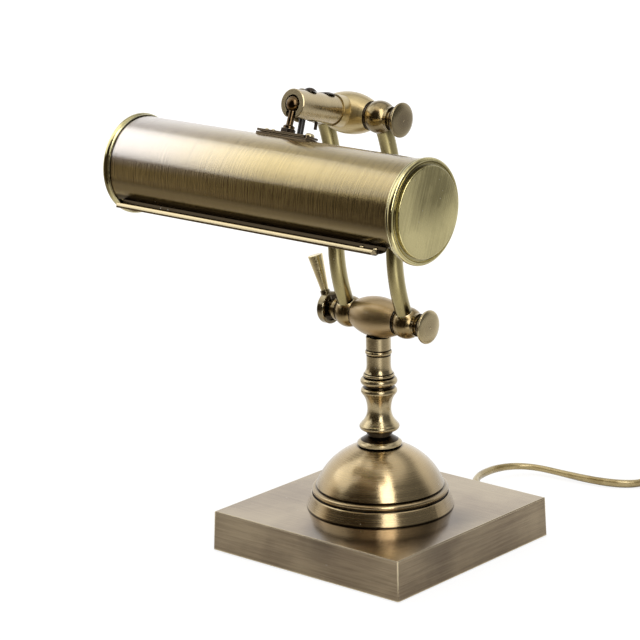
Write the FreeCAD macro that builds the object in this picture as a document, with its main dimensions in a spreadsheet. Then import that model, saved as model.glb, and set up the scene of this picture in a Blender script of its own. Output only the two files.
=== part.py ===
import FreeCAD, Part
import math
import os
import Sketcher

# A piano lamp in millimetres, +Z up, with its origin at the centre of the base's underside.
# The shade and both swivels lie along X. The shade stands out over -Y, the cord leaves at +Y.

os.makedirs("parts", exist_ok=True)
doc = FreeCAD.newDocument("PianoLamp")
sheet = doc.addObject("Spreadsheet::Sheet", "Sizes")
Vector = FreeCAD.Vector
Constraint = Sketcher.Constraint
finished = []


# ---------------------------------------------------------------- sizes and formulas

class Size:
    """A number together with the spreadsheet formula that gives it."""

    def __init__(self, number, formula):
        self.number = number
        self.formula = formula

    def __add__(self, other):
        return Size(self.number + num(other), f"({self.formula} + {text(other)})")

    def __radd__(self, other):
        return Size(num(other) + self.number, f"({text(other)} + {self.formula})")

    def __sub__(self, other):
        return Size(self.number - num(other), f"({self.formula} - {text(other)})")

    def __rsub__(self, other):
        return Size(num(other) - self.number, f"({text(other)} - {self.formula})")

    def __mul__(self, other):
        return Size(self.number * num(other), f"({self.formula} * {text(other)})")

    __rmul__ = __mul__

    def __truediv__(self, other):
        return Size(self.number / num(other), f"({self.formula} / {text(other)})")

    def __neg__(self):
        return Size(-self.number, f"(0 - {self.formula})")


def num(value):
    """The plain number of a size or a number."""
    return value.number if isinstance(value, Size) else float(value)


def text(value):
    """The formula of a size or a number."""
    return value.formula if isinstance(value, Size) else f"({float(value)!r})"


def sine(angle):
    return Size(math.sin(math.radians(num(angle))), f"sin({text(angle)})")


def cosine(angle):
    return Size(math.cos(math.radians(num(angle))), f"cos({text(angle)})")


def root(value):
    return Size(math.sqrt(num(value)), f"sqrt({text(value)})")


def size(alias, value, meaning):
    """Writes one driving size to the sheet and gives it back for use in formulas."""
    row = size.row = size.row + 1
    sheet.set(f"A{row}", meaning)
    sheet.set(f"B{row}", repr(float(value)))
    sheet.setAlias(f"B{row}", alias)
    return Size(float(value), f"Sizes.{alias}")


size.row = 0


# ---------------------------------------------------------------- placing and drawing

class Place:
    """A frame turned about X from the lamp's own frame, with its origin given by sizes."""

    def __init__(self, x=0, y=0, z=0, turn=0, back=False):
        self.x, self.y, self.z, self.turn = x, y, z, turn
        self.sign = -1 if back else 1

    def point(self, x=0, y=0, z=0):
        """A point of this frame in the lamp's frame."""
        across, along = cosine(self.turn), sine(self.turn) * self.sign
        return self.x + x, self.y + y * across - z * along, self.z + y * along + z * across

    def put(self, thing, x=0, y=0, z=0):
        """Places an object at a point of this frame, turned as the frame is."""
        place(thing, *self.point(x, y, z), axis=(self.sign, 0, 0), turn=self.turn)


def place(thing, x=0, y=0, z=0, axis=(0, 0, 1), turn=0):
    """Places an object, each shift and the turn bound to its formula."""
    spin = FreeCAD.Rotation(Vector(*axis), num(turn))
    thing.Placement = FreeCAD.Placement(Vector(num(x), num(y), num(z)), spin)
    for path, value in (("Base.x", x), ("Base.y", y), ("Base.z", z), ("Rotation.Angle", turn)):
        if isinstance(value, Size):
            thing.setExpression("Placement." + path, value.formula)


def bind(thing, name, value):
    """Sets a property to a number, or to a formula that it then follows."""
    setattr(thing, name, num(value))
    if isinstance(value, Size):
        thing.setExpression(name, value.formula)


def body(name):
    made = doc.addObject("PartDesign::Body", name)
    made.Label = name
    return made


def drawing_on(owner, plane, lift=0):
    """A sketch on one of a body's own origin planes, lifted along its normal."""
    made = owner.newObject("Sketcher::SketchObject", owner.Name + "_sketch")
    flat = next(f for f in owner.Origin.OriginFeatures if f.Role == plane)
    made.AttachmentSupport = [(flat, "")]
    made.MapMode = "FlatFace"
    made.AttachmentOffset = FreeCAD.Placement(Vector(0, 0, num(lift)), FreeCAD.Rotation())
    if isinstance(lift, Size):
        made.setExpression("AttachmentOffset.Base.z", lift.formula)
    return made


def arc(radius, side):
    """The next outline step is an arc, its centre on the left (1) or right (-1) of the step."""
    return ("arc", radius, side)


def outline(drawing, steps):
    """Draws one closed outline through points, and pins each point and radius to its formula."""
    points, bends = [], []
    for step in steps:
        if step[0] == "arc":
            bends[-1] = step
        else:
            points.append(step)
            bends.append(None)
    first, rules, bound, ends = drawing.GeometryCount, [], [], []
    for i, bend in enumerate(bends):
        a = Vector(num(points[i][0]), num(points[i][1]), 0)
        b_point = points[(i + 1) % len(points)]
        b = Vector(num(b_point[0]), num(b_point[1]), 0)
        if bend is None:
            drawing.addGeometry(Part.LineSegment(a, b), False)
            ends.append((1, 2))
            continue
        _, radius, side = bend
        chord = b - a
        left = Vector(-chord.y, chord.x, 0).normalize()
        reach = math.sqrt(max(num(radius) ** 2 - (chord.Length / 2) ** 2, 0.0))
        centre = (a + b) * 0.5 + left * reach * side
        start, stop = (a, b) if side > 0 else (b, a)
        circle = Part.Circle(centre, Vector(0, 0, 1), num(radius))
        low = math.atan2(start.y - centre.y, start.x - centre.x)
        high = math.atan2(stop.y - centre.y, stop.x - centre.x)
        if high <= low:
            high += 2 * math.pi
        drawing.addGeometry(Part.ArcOfCircle(circle, low, high), False)
        ends.append((1, 2) if side > 0 else (2, 1))
        rules.append(Constraint("Radius", first + i, num(radius)))
        bound.append((len(rules) - 1, radius))
    for i, (x, y) in enumerate(points):
        here, behind = first + i, first + (i - 1) % len(points)
        rules.append(Constraint("Coincident", behind, ends[i - 1][1], here, ends[i][0]))
        for kind, value, line in (("DistanceX", x, -2), ("DistanceY", y, -1)):
            if abs(num(value)) < 1e-9:
                rules.append(Constraint("PointOnObject", here, ends[i][0], line))
            else:
                rules.append(Constraint(kind, -1, 1, here, ends[i][0], num(value)))
                bound.append((len(rules) - 1, value))
    pin(drawing, rules, bound)


def pin(drawing, rules, bound):
    """Adds rules to a sketch and binds those that follow a formula."""
    start = drawing.ConstraintCount
    drawing.addConstraint(rules)
    for index, value in bound:
        if isinstance(value, Size):
            drawing.setExpression(f"Constraints[{start + index}]", value.formula)


def hole_in(drawing, x, y, radius):
    """Draws a circle at a pinned centre."""
    here = drawing.GeometryCount
    centre = Vector(num(x), num(y), 0)
    drawing.addGeometry(Part.Circle(centre, Vector(0, 0, 1), num(radius)), False)
    rules, bound = [Constraint("Radius", here, num(radius))], [(0, radius)]
    for kind, value, line in (("DistanceX", x, -2), ("DistanceY", y, -1)):
        if abs(num(value)) < 1e-9:
            rules.append(Constraint("PointOnObject", here, 3, line))
        else:
            rules.append(Constraint(kind, -1, 1, here, 3, num(value)))
            bound.append((len(rules) - 1, value))
    pin(drawing, rules, bound)


def round_box(drawing, half_x, half_y, corner):
    """Draws a centred rectangle with rounded corners."""
    outline(drawing, [
        (half_x, corner - half_y), (half_x, half_y - corner), arc(corner, 1),
        (half_x - corner, half_y), (corner - half_x, half_y), arc(corner, 1),
        (-half_x, half_y - corner), (-half_x, corner - half_y), arc(corner, 1),
        (corner - half_x, -half_y), (half_x - corner, -half_y), arc(corner, 1)])


# ---------------------------------------------------------------- features

def turned(name, steps, axis="V_Axis"):
    """A body turned about its own vertical axis (V_Axis) or its X axis (H_Axis)."""
    made = body(name)
    drawing = drawing_on(made, "XZ_Plane")
    outline(drawing, steps)
    spun = made.newObject("PartDesign::Revolution", name + "_turn")
    spun.Profile = drawing
    spun.ReferenceAxis = (drawing, [axis])
    spun.Angle = 360.0
    return made


def padded(made, drawing, length, symmetric=False):
    """Pads a sketch of a body."""
    pad = made.newObject("PartDesign::Pad", made.Name + "_pad")
    pad.Profile = drawing
    bind(pad, "Length", length)
    pad.SideType = "Symmetric" if symmetric else "One side"
    return pad


def pocketed(made, drawing, length, backwards=False):
    """Cuts a pocket from a sketch of a body."""
    cut = made.newObject("PartDesign::Pocket", made.Name + "_pocket")
    cut.Profile = drawing
    bind(cut, "Length", length)
    cut.Reversed = backwards
    return cut


def primitive(kind, name, **sizes):
    """A Part primitive whose dimensions follow their formulas."""
    made = doc.addObject("Part::" + kind, name)
    for key, value in sizes.items():
        bind(made, key, value)
    return made


def rod(name, radius, length):
    return primitive("Cylinder", name, Radius=radius, Height=length)


def cut_from(name, base, *tools):
    """The base solid less each tool in turn."""
    for index, tool in enumerate(tools):
        result = doc.addObject("Part::Cut", f"{name}_cut{index}")
        result.Base, result.Tool = base, tool
        base = result
    return base


def joined(name, *pieces):
    made = doc.addObject("Part::MultiFuse", name + "_joined")
    made.Shapes = list(pieces)
    return made


def group(name, pieces):
    """Separate solids that share one node."""
    made = doc.addObject("Part::Compound", name + "_group")
    made.Links = list(pieces)
    return made


def keep(name, thing):
    """Marks an object as a finished piece with this label."""
    thing.Label = name
    finished.append(thing)
    return thing


def bead(low, crest, high):
    """Two quarter arcs from one outline point over a crest to another, bulging outwards."""
    def quarter(a, b):
        across, up = b[0] - a[0], b[1] - a[1]
        return root((across * across + up * up) / 2)
    return [low, arc(quarter(low, crest), 1), crest, arc(quarter(crest, high), 1), high]


def sweep_radius(across, along):
    """The radius of an arc that runs off a tangent by this much across over this much along."""
    return (along * along + across * across) / (across * 2)


def rounded_route(points, folds=()):
    """Straight runs joined by tangent arcs as large as their runs allow, and the radii."""
    points = [Vector(*p) for p in points]
    edges, radii, here = [], [], points[0]
    for i in range(1, len(points) - 1):
        before, after = points[i] - points[i - 1], points[i + 1] - points[i]
        shorter = min(before.Length, after.Length)
        half = before.getAngle(after) / 2
        setback = 0.45 * shorter
        radii.append(setback / math.tan(half))
        before.normalize()
        after.normalize()
        start, stop = points[i] - before * setback, points[i] + after * setback
        inward = (after - before).normalize()
        middle = points[i] + inward * (radii[-1] / math.cos(half) - radii[-1])
        edges.append(Part.LineSegment(here, start).toShape())
        edges.append(Part.Arc(start, middle, stop).toShape())
        here = stop
    edges.append(Part.LineSegment(here, points[-1]).toShape())
    return Part.Wire(edges), radii


def round_tube(name, points, radius):
    """A plain round tube along a route, with its volume checked against section and length."""
    route, radii = rounded_route(points)
    first = route.Edges[0]
    heading = first.tangentAt(first.FirstParameter)
    ring = Part.Wire([Part.makeCircle(num(radius), Vector(*points[0]), heading)])
    solid = route.makePipeShell([ring], True, True)
    made = doc.addObject("Part::Feature", name)
    made.Shape = solid
    share = solid.Volume / (math.pi * num(radius) ** 2 * route.Length)
    print(f"{name}: length {route.Length:.1f}, volume share {share:.4f}, radii",
          " ".join(f"{r:.0f}" for r in radii))
    return made


# ---------------------------------------------------------------- driving sizes

base_side = size("base_side", 150.0, "side of the base's top face")
base_top = size("base_top", 26.3, "height of the base's top face")
base_splay = size("base_splay", 1.1, "how much wider each side of the base is at its foot")
base_lift = size("base_lift", 0.7, "gap between the base's rim and the table")
base_wall = size("base_wall", 2.5, "wall of the base cover")
base_edge = size("base_edge", 0.6, "rounding of the base's top edges")
base_corner = size("base_corner", 1.0, "rounding of the base's upright edges")
pad_thick = size("pad_thick", 1.5, "thickness of the felt")
pad_margin = size("pad_margin", 4.5, "felt's distance inside the base's rim")
plate_thick = size("plate_thick", 1.2, "thickness of the steel bottom plate")
plate_gap = size("plate_gap", 0.3, "clearance of the bottom plate in the cover")
weight_thick = size("weight_thick", 12.0, "thickness of the cast weight")
weight_gap = size("weight_gap", 1.0, "clearance of the weight in the cover")
foot_spread = size("foot_spread", 58.0, "distance of the weight's screw feet from the centre")
foot_r = size("foot_r", 5.0, "radius of the weight's screw feet")
plate_screw_r = size("plate_screw_r", 1.45, "shank radius of the bottom plate's screws")
plate_screw_deep = size("plate_screw_deep", 7.0, "length of the bottom plate's screws")
fit = size("fit", 0.05, "radial clearance of a shaft or screw in its hole")
seat = size("seat", 0.05, "gap between two faces that rest on each other")

tube_r = size("tube_r", 5.0, "radius of the threaded tube in the stem")
tube_bore = size("tube_bore", 3.5, "bore radius of the threaded tube")
nut_pit_r = size("nut_pit_r", 12.5, "radius of the weight's pit for the stem nut")
nut_pit_deep = size("nut_pit_deep", 6.8, "depth of the weight's pit for the stem nut")
stem_nut_r = size("stem_nut_r", 8.1, "corner radius of the stem's lock nut")
stem_nut_high = size("stem_nut_high", 4.8, "height of the stem's lock nut")
washer_r = size("washer_r", 11.0, "radius of the stem's washer")
washer_thick = size("washer_thick", 1.5, "thickness of the stem's washer")

dome_foot_r = size("dome_foot_r", 46.9, "radius of the dome's skirt at its foot")
dome_skirt_r = size("dome_skirt_r", 44.3, "radius of the dome's skirt at its top")
dome_skirt_high = size("dome_skirt_high", 9.0, "height of the dome's skirt")
dome_neck_r = size("dome_neck_r", 42.4, "radius of the groove above the skirt")
dome_bead_r = size("dome_bead_r", 43.6, "radius of the dome's bead")
dome_bead_high = size("dome_bead_high", 3.2, "height of the dome's bead")
dome_r = size("dome_r", 40.9, "radius of the dome's bowl at its foot")
dome_bowl_r = size("dome_bowl_r", 43.5, "radius of the dome's curve")
dome_bowl_foot = size("dome_bowl_foot", 14.7, "height of the bowl's foot above the base")
dome_top = size("dome_top", 39.9, "height of the dome's top above the base")
dome_top_r = size("dome_top_r", 14.0, "radius of the dome's flat top")
dome_wall = size("dome_wall", 1.2, "wall of the spun dome")

collar_r = size("collar_r", 14.2, "radius of the collar on the dome")
collar_foot_r = size("collar_foot_r", 12.9, "radius of the collar's foot")
collar_high = size("collar_high", 8.2, "height of the collar with its neck")
collar_neck_r = size("collar_neck_r", 7.4, "radius of the collar's neck")
vase_bead_r = size("vase_bead_r", 12.7, "radius of the baluster's lowest bead")
waist_r = size("waist_r", 7.4, "radius of the baluster's waist")
shoulder_r = size("shoulder_r", 10.9, "radius of the baluster's shoulder")
wide_bead_r = size("wide_bead_r", 11.4, "radius of the baluster's widest bead")
upper_bead_r = size("upper_bead_r", 9.7, "radius of the bead above it")
neck_r = size("neck_r", 7.6, "radius of the baluster's neck")
top_bead_r = size("top_bead_r", 8.2, "radius of the bead at the baluster's top")
ferrule_r = size("ferrule_r", 7.9, "radius of the ferrule under the lower swivel")

lower_z = size("lower_z", 150.5, "height of the lower swivel's axis")
upper_y = size("upper_y", -24.2, "place of the upper swivel's axis along Y")
upper_z = size("upper_z", 284.6, "height of the upper swivel's axis")
barrel_r = size("barrel_r", 13.0, "largest radius of a swivel's barrel")
barrel_end_r = size("barrel_end_r", 9.0, "radius of a barrel's ends")
barrel_half = size("barrel_half", 16.5, "half the length of a barrel")
barrel_flat = size("barrel_flat", 12.3, "distance of the lower barrel's seat from its axis")
axle_r = size("axle_r", 3.0, "radius of the swivel axles")
washer_ring_r = size("washer_ring_r", 8.5, "radius of the friction washers")
washer_ring = size("washer_ring", 1.0, "thickness of the friction washers")
ball_r = size("ball_r", 10.1, "radius of the swivel balls")
arm_x = size("arm_x", 23.5, "distance of the arms and the ball centres from the middle")
ball_out = size("ball_out", 7.4, "how far the round of a ball goes past its centre")
ring_r = size("ring_r", 7.3, "radius of the ring at a ball's outer end")
ring_wide = size("ring_wide", 1.9, "width of that ring")
spigot_r = size("spigot_r", 6.1, "radius of a ball's outer neck")
spigot_long = size("spigot_long", 2.9, "length of a ball's outer neck")
knob_r = size("knob_r", 10.7, "radius of the end knobs")
knob_thick = size("knob_thick", 5.6, "thickness of an end knob with its boss")
knob_edge = size("knob_edge", 0.9, "rounding of an end knob")
knob_deep = size("knob_deep", 3.4, "depth of the thread in an end knob")

arm_r = size("arm_r", 5.2, "outer radius of the arm tubes")
arm_bore = size("arm_bore", 4.2, "bore radius of the arm tubes")
arm_bow = size("arm_bow", 50.0, "height of each curved end of an arm, from its ball's centre")
arm_seat = size("arm_seat", 6.2, "distance of an arm's end from its ball's centre")

hub_r = size("hub_r", 10.4, "radius of the clamp lever's hub")
hub_thick = size("hub_thick", 7.2, "thickness of the hub with its boss")
lever_lean = size("lever_lean", 15.9, "lean of the clamp lever from upright")
lever_root_r = size("lever_root_r", 2.4, "radius of the lever at its root")
lever_tip_r = size("lever_tip_r", 4.8, "radius of the lever at its tip")
lever_long = size("lever_long", 23.4, "length of the lever")
lever_boss = size("lever_boss", 8.6, "length of the hub's boss for the lever")
lever_boss_r = size("lever_boss_r", 3.1, "radius of the hub's boss for the lever")
lever_pin_r = size("lever_pin_r", 1.6, "radius of the lever's pin in the hub")

bar_rise = size("bar_rise", 14.8, "rise of the shade's bar towards its front")
bar_r = size("bar_r", 9.0, "radius of the bar")
bar_end = size("bar_end", 54.9, "distance of the bar's front face from the upper swivel")
bar_start = size("bar_start", 17.5, "distance of the bar's rear face from the upper swivel")
bar_bore = size("bar_bore", 5.5, "bore radius of the bar")
bar_bore_start = size("bar_bore_start", 27.0, "distance of the bore's end from the swivel")
slot_wide = size("slot_wide", 7.5, "width of the slot under the bar")
slot_start = size("slot_start", 36.0, "distance of the slot's end from the upper swivel")
boss_r = size("boss_r", 9.8, "radius of the upper barrel's boss for the bar")
tenon_r = size("tenon_r", 6.5, "radius of the bar's tenon in the boss")
tenon_start = size("tenon_start", 8.0, "distance of the tenon's end from the swivel axis")
front_screw_at = size("front_screw_at", 40.2, "place of the front screw along the bar")
front_screw_r = size("front_screw_r", 4.5, "radius of the front screw's head")
front_screw_high = size("front_screw_high", 1.9, "height of the front screw's head")
rear_screw_at = size("rear_screw_at", 23.3, "place of the rear screw along the bar")
rear_screw_r = size("rear_screw_r", 4.7, "radius of the rear screw's head")
rear_screw_high = size("rear_screw_high", 1.0, "height of the rear screw's head")
grub_at = size("grub_at", 30.4, "place of the grub screw under the bar")
grub_r = size("grub_r", 1.0, "radius of the grub screw")
grub_drop = size("grub_drop", 4.5, "how far the grub screw stands out of the bar")

ball_at = size("ball_at", 53.0, "place of the small ball along the bar")
small_ball_r = size("small_ball_r", 5.0, "radius of the shade's ball")
stud_r = size("stud_r", 2.1, "radius of the ball's stud")
neck_lean = size("neck_lean", 21.5, "lean of the ball's stud from upright")
reach = size("reach", 50.2, "distance of the small ball from the shade's axis")

shade_r = size("shade_r", 29.6, "outer radius of the shade")
shade_wall = size("shade_wall", 0.8, "wall of the shade")
shade_half = size("shade_half", 113.0, "half the length of the shade's tube")
shade_open = size("shade_open", 106.0, "angle of the shade's opening")
cap_r = size("cap_r", 31.24, "radius of the end caps")
cap_face_r = size("cap_face_r", 27.7, "radius of an end cap's face")
cap_tongue = size("cap_tongue", 7.5, "length of the end caps' tongues in the shade")
lip_clear = size("lip_clear", 1.5, "gap between the lip's ends and the caps' tongues")
lip_half = shade_half - cap_tongue - lip_clear
lip_wide = size("lip_wide", 9.3, "width of the lip")
lip_thick = size("lip_thick", 0.9, "thickness of the lip")
lip_droop = size("lip_droop", 12.4, "slope of the lip")
rivet_r = size("rivet_r", 1.4, "head radius of the lip's rivets")
rivet_pitch = size("rivet_pitch", 10.0, "distance between the lip's rivets")
rivet_inset = size("rivet_inset", 5.0, "distance of the last rivet from the lip's end")
rivet_first = lip_half - rivet_inset - rivet_pitch

strap_half = size("strap_half", 20.0, "half the length of the bracket's plate")
strap_wide = size("strap_wide", 12.4, "width of the bracket's plate")
strap_thick = size("strap_thick", 1.25, "thickness of each bracket plate")
strap_corner = size("strap_corner", 2.0, "corner radius of the bracket's plate")
strap_screw_at = size("strap_screw_at", 17.3, "place of the bracket's screw")
strap_screw_r = size("strap_screw_r", 2.8, "head radius of the bracket's screw")
nut_r = size("nut_r", 4.6, "corner radius of the stud's nuts")
nut_high = size("nut_high", 2.6, "height of the stud's nuts")

lead_r = size("lead_r", 1.95, "radius of the shade's lead")
lead_back = size("lead_back", 11.5, "distance of the shade's lead behind the stud")
socket_r = size("socket_r", 12.4, "radius of the lampholder")
socket_inset = size("socket_inset", 13.1, "distance of the lampholder from the shade's end")
socket_back = shade_half - socket_inset
foot_margin = size("foot_margin", 5.0, "bracket's foot beyond its first rivet")
foot_wide = size("foot_wide", 14.5, "width of the bracket's foot")
tab_thick = size("tab_thick", 1.2, "thickness of the bracket's sheet")
socket_long = size("socket_long", 38.0, "length of the lampholder")
socket_bore = size("socket_bore", 7.4, "bore radius of the lampholder")
bulb_r = size("bulb_r", 12.0, "radius of the tubular bulb")
bulb_long = size("bulb_long", 98.0, "length of the bulb's glass")
bulb_wall = size("bulb_wall", 0.8, "wall of the bulb's glass")
bulb_cap_r = size("bulb_cap_r", 6.9, "radius of the bulb's cap")

cord_r = size("cord_r", 2.75, "radius of the mains cord")
cord_exit_z = size("cord_exit_z", 8.5, "height of the cord's way out of the base")
bush_long = size("bush_long", 24.0, "length of the strain relief outside the base")
bush_r = size("bush_r", 5.6, "radius of the strain relief at the base")
bush_neck_r = size("bush_neck_r", 4.2, "radius of the strain relief in the base's wall")
bush_flange_r = size("bush_flange_r", 5.2, "radius of the strain relief's inner flange")
bush_flange = size("bush_flange", 2.0, "thickness of the strain relief's inner flange")
bush_tip_r = size("bush_tip_r", 3.7, "radius of the strain relief at its tip")
wire_r = size("wire_r", 1.2, "radius of the leads inside the lamp")
switch_long = size("switch_long", 60.0, "length of the switch on the cord")
switch_wide = size("switch_wide", 24.0, "width of the switch")
switch_high = size("switch_high", 15.0, "height of the switch")
switch_split = size("switch_split", 7.0, "height of the cord's line and the switch's seam")
switch_corner = size("switch_corner", 6.5, "corner radius of the switch")
rocker_long = size("rocker_long", 17.0, "length of the switch's rocker")
rocker_wide = size("rocker_wide", 11.5, "width of the switch's rocker")
rocker_z = size("rocker_z", 11.4, "height of the rocker's pivot")
pivot_r = size("pivot_r", 1.0, "radius of the rocker's pivot")
coil_r = size("coil_r", 30.0, "radius of the middle of the coil's turns")
coil_section = size("coil_section", 16.5, "width and height of the coil's winding")
plug_long = size("plug_long", 30.0, "length of the plug's body")
plug_wide = size("plug_wide", 22.0, "width of the plug's body")
plug_thick = size("plug_thick", 12.0, "thickness of the plug's body")
blade_long = size("blade_long", 16.5, "length of the plug's blades")
blade_wide = size("blade_wide", 6.35, "width of the plug's blades")
blade_thick = size("blade_thick", 1.5, "thickness of the plug's blades")
blade_pitch = size("blade_pitch", 12.7, "distance between the plug's blades")
doc.recompute()

lower = Place(0, 0, lower_z)
upper = Place(0, upper_y, upper_z)
bar = Place(0, upper_y, upper_z, turn=90 - bar_rise)
ball_y = upper_y - ball_at * cosine(bar_rise)
ball_z = upper_z + ball_at * sine(bar_rise)
shade_y = ball_y - reach * sine(neck_lean)
shade_z = ball_z - reach * cosine(neck_lean)
shade = Place(0, shade_y, shade_z)
neck = Place(0, shade_y, shade_z, turn=neck_lean, back=True)
half_open = shade_open / 2
lip_corner_y = -(shade_r + seat) * sine(half_open)
lip_corner_z = -(shade_r + seat) * cosine(half_open)
lip = Place(0, shade_y + lip_corner_y, shade_z + lip_corner_z, turn=lip_droop)


# ---------------------------------------------------------------- base

def make_base_cover():
    """Square spun cover with tapered sides, hollow below, with holes for stem and cord."""
    cover = body("base_cover_body")
    drawing = drawing_on(cover, "XY_Plane", base_lift)
    half = base_side / 2 + base_splay
    round_box(drawing, half, half, base_corner)
    pad = padded(cover, drawing, base_top - base_lift)
    splay = math.degrees(math.atan(num(base_splay) / num(base_top - base_lift)))
    pad.TaperAngle = -splay
    pad.setExpression("TaperAngle", f"-atan({base_splay.formula} / {(base_top - base_lift).formula})")
    doc.recompute()
    soft = cover.newObject("PartDesign::Fillet", "base_cover_top_edge")
    upper_edges = [f"Edge{i + 1}" for i, e in enumerate(pad.Shape.Edges)
                   if e.BoundBox.ZMin > num(base_top) - 0.01]
    soft.Base = (pad, upper_edges)
    bind(soft, "Radius", base_edge)
    hollow = drawing_on(cover, "XY_Plane", base_lift)
    inner = base_side / 2 - base_wall
    round_box(hollow, inner, inner, base_corner)
    pocketed(cover, hollow, base_top - base_lift - base_wall, backwards=True)
    stem_hole = rod("base_cover_stem_hole", tube_r + fit, base_wall * 2)
    place(stem_hole, 0, 0, base_top - base_wall * 1.5)
    cord_hole = rod("base_cover_cord_hole", bush_neck_r + fit, base_wall * 4)
    place(cord_hole, 0, inner - base_wall, cord_exit_z, axis=(-1, 0, 0), turn=90)
    return keep("base_cover", cut_from("base_cover", cover, stem_hole, cord_hole))


def foot_places():
    return [(a * foot_spread, b * foot_spread) for a in (-1, 1) for b in (-1, 1)]


weight_top = base_top - base_wall - seat
weight_foot = weight_top - weight_thick
plate_top = pad_thick + plate_thick


def make_base_weight():
    """Cast slab that fills the cover, with a pit for the stem nut and four screw feet."""
    slab = body("base_weight_body")
    half = base_side / 2 - base_wall - weight_gap
    drawing = drawing_on(slab, "XY_Plane", weight_foot)
    round_box(drawing, half, half, base_corner * 3)
    padded(slab, drawing, weight_thick)
    feet = drawing_on(slab, "XY_Plane", plate_top + seat)
    for x, y in foot_places():
        hole_in(feet, x, y, foot_r)
    padded(slab, feet, weight_foot - plate_top)
    pit = rod("base_weight_pit", nut_pit_r, nut_pit_deep * 2)
    place(pit, 0, 0, weight_foot - nut_pit_deep)
    bore = rod("base_weight_bore", tube_r + fit, weight_thick * 2)
    place(bore, 0, 0, weight_foot)
    notch = primitive("Box", "base_weight_notch", Length=16, Width=14, Height=6)
    place(notch, -8, base_side / 2 - base_wall - 12, weight_foot - 2)
    screw_holes = []
    for index, (x, y) in enumerate(foot_places()):
        screw_hole = rod(f"base_weight_screw_hole{index}", plate_screw_r + fit, plate_screw_deep)
        place(screw_hole, x, y, plate_top)
        screw_holes.append(screw_hole)
    return keep("base_weight", cut_from("base_weight", slab, pit, bore, notch, *screw_holes))


def make_bottom_plate():
    """Steel plate that closes the base, with four countersunk holes."""
    plate = body("bottom_plate_body")
    half = base_side / 2 - base_wall - plate_gap
    drawing = drawing_on(plate, "XY_Plane", pad_thick)
    round_box(drawing, half, half, base_corner * 2)
    padded(plate, drawing, plate_thick)
    sinks = []
    for index, (x, y) in enumerate(foot_places()):
        sink = primitive("Cone", f"bottom_plate_sink{index}", Radius1=plate_screw_r * 2 + fit,
                         Radius2=plate_screw_r + fit, Height=plate_thick)
        place(sink, x, y, pad_thick)
        sinks.append(sink)
    return keep("bottom_plate", cut_from("bottom_plate", plate, *sinks))


def make_plate_screws():
    """Four countersunk screws through the bottom plate into the weight's feet."""
    screws = []
    shank = plate_thick + plate_screw_deep - fit * 4
    for index, (x, y) in enumerate(foot_places()):
        screw = turned(f"plate_screw{index}", [
            (0, fit), (plate_screw_r * 2 - fit * 2, fit), (plate_screw_r, plate_thick),
            (plate_screw_r, shank), (0, shank)])
        place(screw, x, y, pad_thick)
        screws.append(screw)
    return keep("plate_screws", group("plate_screws", screws))


def make_felt_pad():
    """Felt that covers the plate and carries the lamp."""
    felt = body("felt_pad")
    half = base_side / 2 + base_splay - pad_margin
    drawing = drawing_on(felt, "XY_Plane")
    round_box(drawing, half, half, base_corner * 3)
    padded(felt, drawing, pad_thick)
    return keep("felt_pad", felt)


# ---------------------------------------------------------------- stem

def make_threaded_tube():
    """Threaded tube that clamps base, dome and baluster to the lower barrel."""
    foot = weight_foot - 1.0
    top = lower_z - axle_r - 2.5
    tube = turned("threaded_tube", [
        (tube_bore, foot), (tube_r, foot), (tube_r, top), (tube_bore, top)])
    return keep("threaded_tube", tube)


def make_stem_washer():
    top = weight_foot + nut_pit_deep - seat
    washer = turned("stem_washer", [
        (tube_r + fit, top - washer_thick), (washer_r, top - washer_thick),
        (washer_r, top), (tube_r + fit, top)])
    return keep("stem_washer", washer)


def make_stem_nut():
    high = weight_foot + nut_pit_deep - washer_thick - seat * 2
    prism = primitive("Prism", "stem_nut_prism", Circumradius=stem_nut_r, Height=stem_nut_high)
    prism.Polygon = 6
    place(prism, 0, 0, high - stem_nut_high)
    bore = rod("stem_nut_bore", tube_r + fit, stem_nut_high * 2)
    place(bore, 0, 0, high - stem_nut_high * 1.5)
    return keep("stem_nut", cut_from("stem_nut", prism, bore))


def make_dome():
    """Spun dome with a skirt, a bead between two grooves and a round bowl."""
    wall = dome_wall
    foot = base_top + seat
    skirt = foot + dome_skirt_high
    crest = skirt + 0.9 + dome_bead_high / 2
    bead_top = skirt + 0.9 + dome_bead_high
    bowl = base_top + dome_bowl_foot
    top = base_top + dome_top
    bore = tube_r + fit
    steps = [(dome_foot_r, foot), (dome_foot_r, foot + 0.8), (dome_skirt_r, skirt - 0.5),
             (dome_skirt_r - 0.6, skirt), (dome_neck_r, skirt), (dome_neck_r, skirt + 0.9)]
    steps += bead((dome_neck_r, skirt + 0.91), (dome_bead_r, crest), (dome_neck_r - 0.3, bead_top))
    steps += [(dome_r - 0.5, bead_top + 0.4), (dome_r, bowl), arc(dome_bowl_r, 1),
              (dome_top_r, top), (bore, top), (bore, top - wall),
              (dome_top_r - wall, top - wall), arc(dome_bowl_r - wall, -1),
              (dome_r - wall * 1.4, bowl), (dome_r - wall * 1.4, skirt - wall),
              (dome_skirt_r - wall * 1.4, skirt - wall), (dome_foot_r - wall, foot)]
    return keep("dome", turned("dome", steps))


stem_1 = base_top + dome_top + seat
stem_2 = stem_1 + collar_high


def make_stem_collar():
    """Flat turned collar between the dome and the baluster."""
    bore = tube_r + fit
    collar = turned("stem_collar", [
        (bore, stem_1), (collar_foot_r, stem_1), (collar_r, stem_1 + 1.3),
        (collar_r, stem_1 + 2.3), (collar_r - 0.9, stem_1 + 3.2),
        (collar_neck_r + 1.2, stem_1 + 6.2), (collar_neck_r, stem_1 + 6.9),
        (collar_neck_r, stem_2 - seat), (bore, stem_2 - seat)])
    return keep("stem_collar", collar)


ferrule_foot = stem_2 + 55.1


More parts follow.
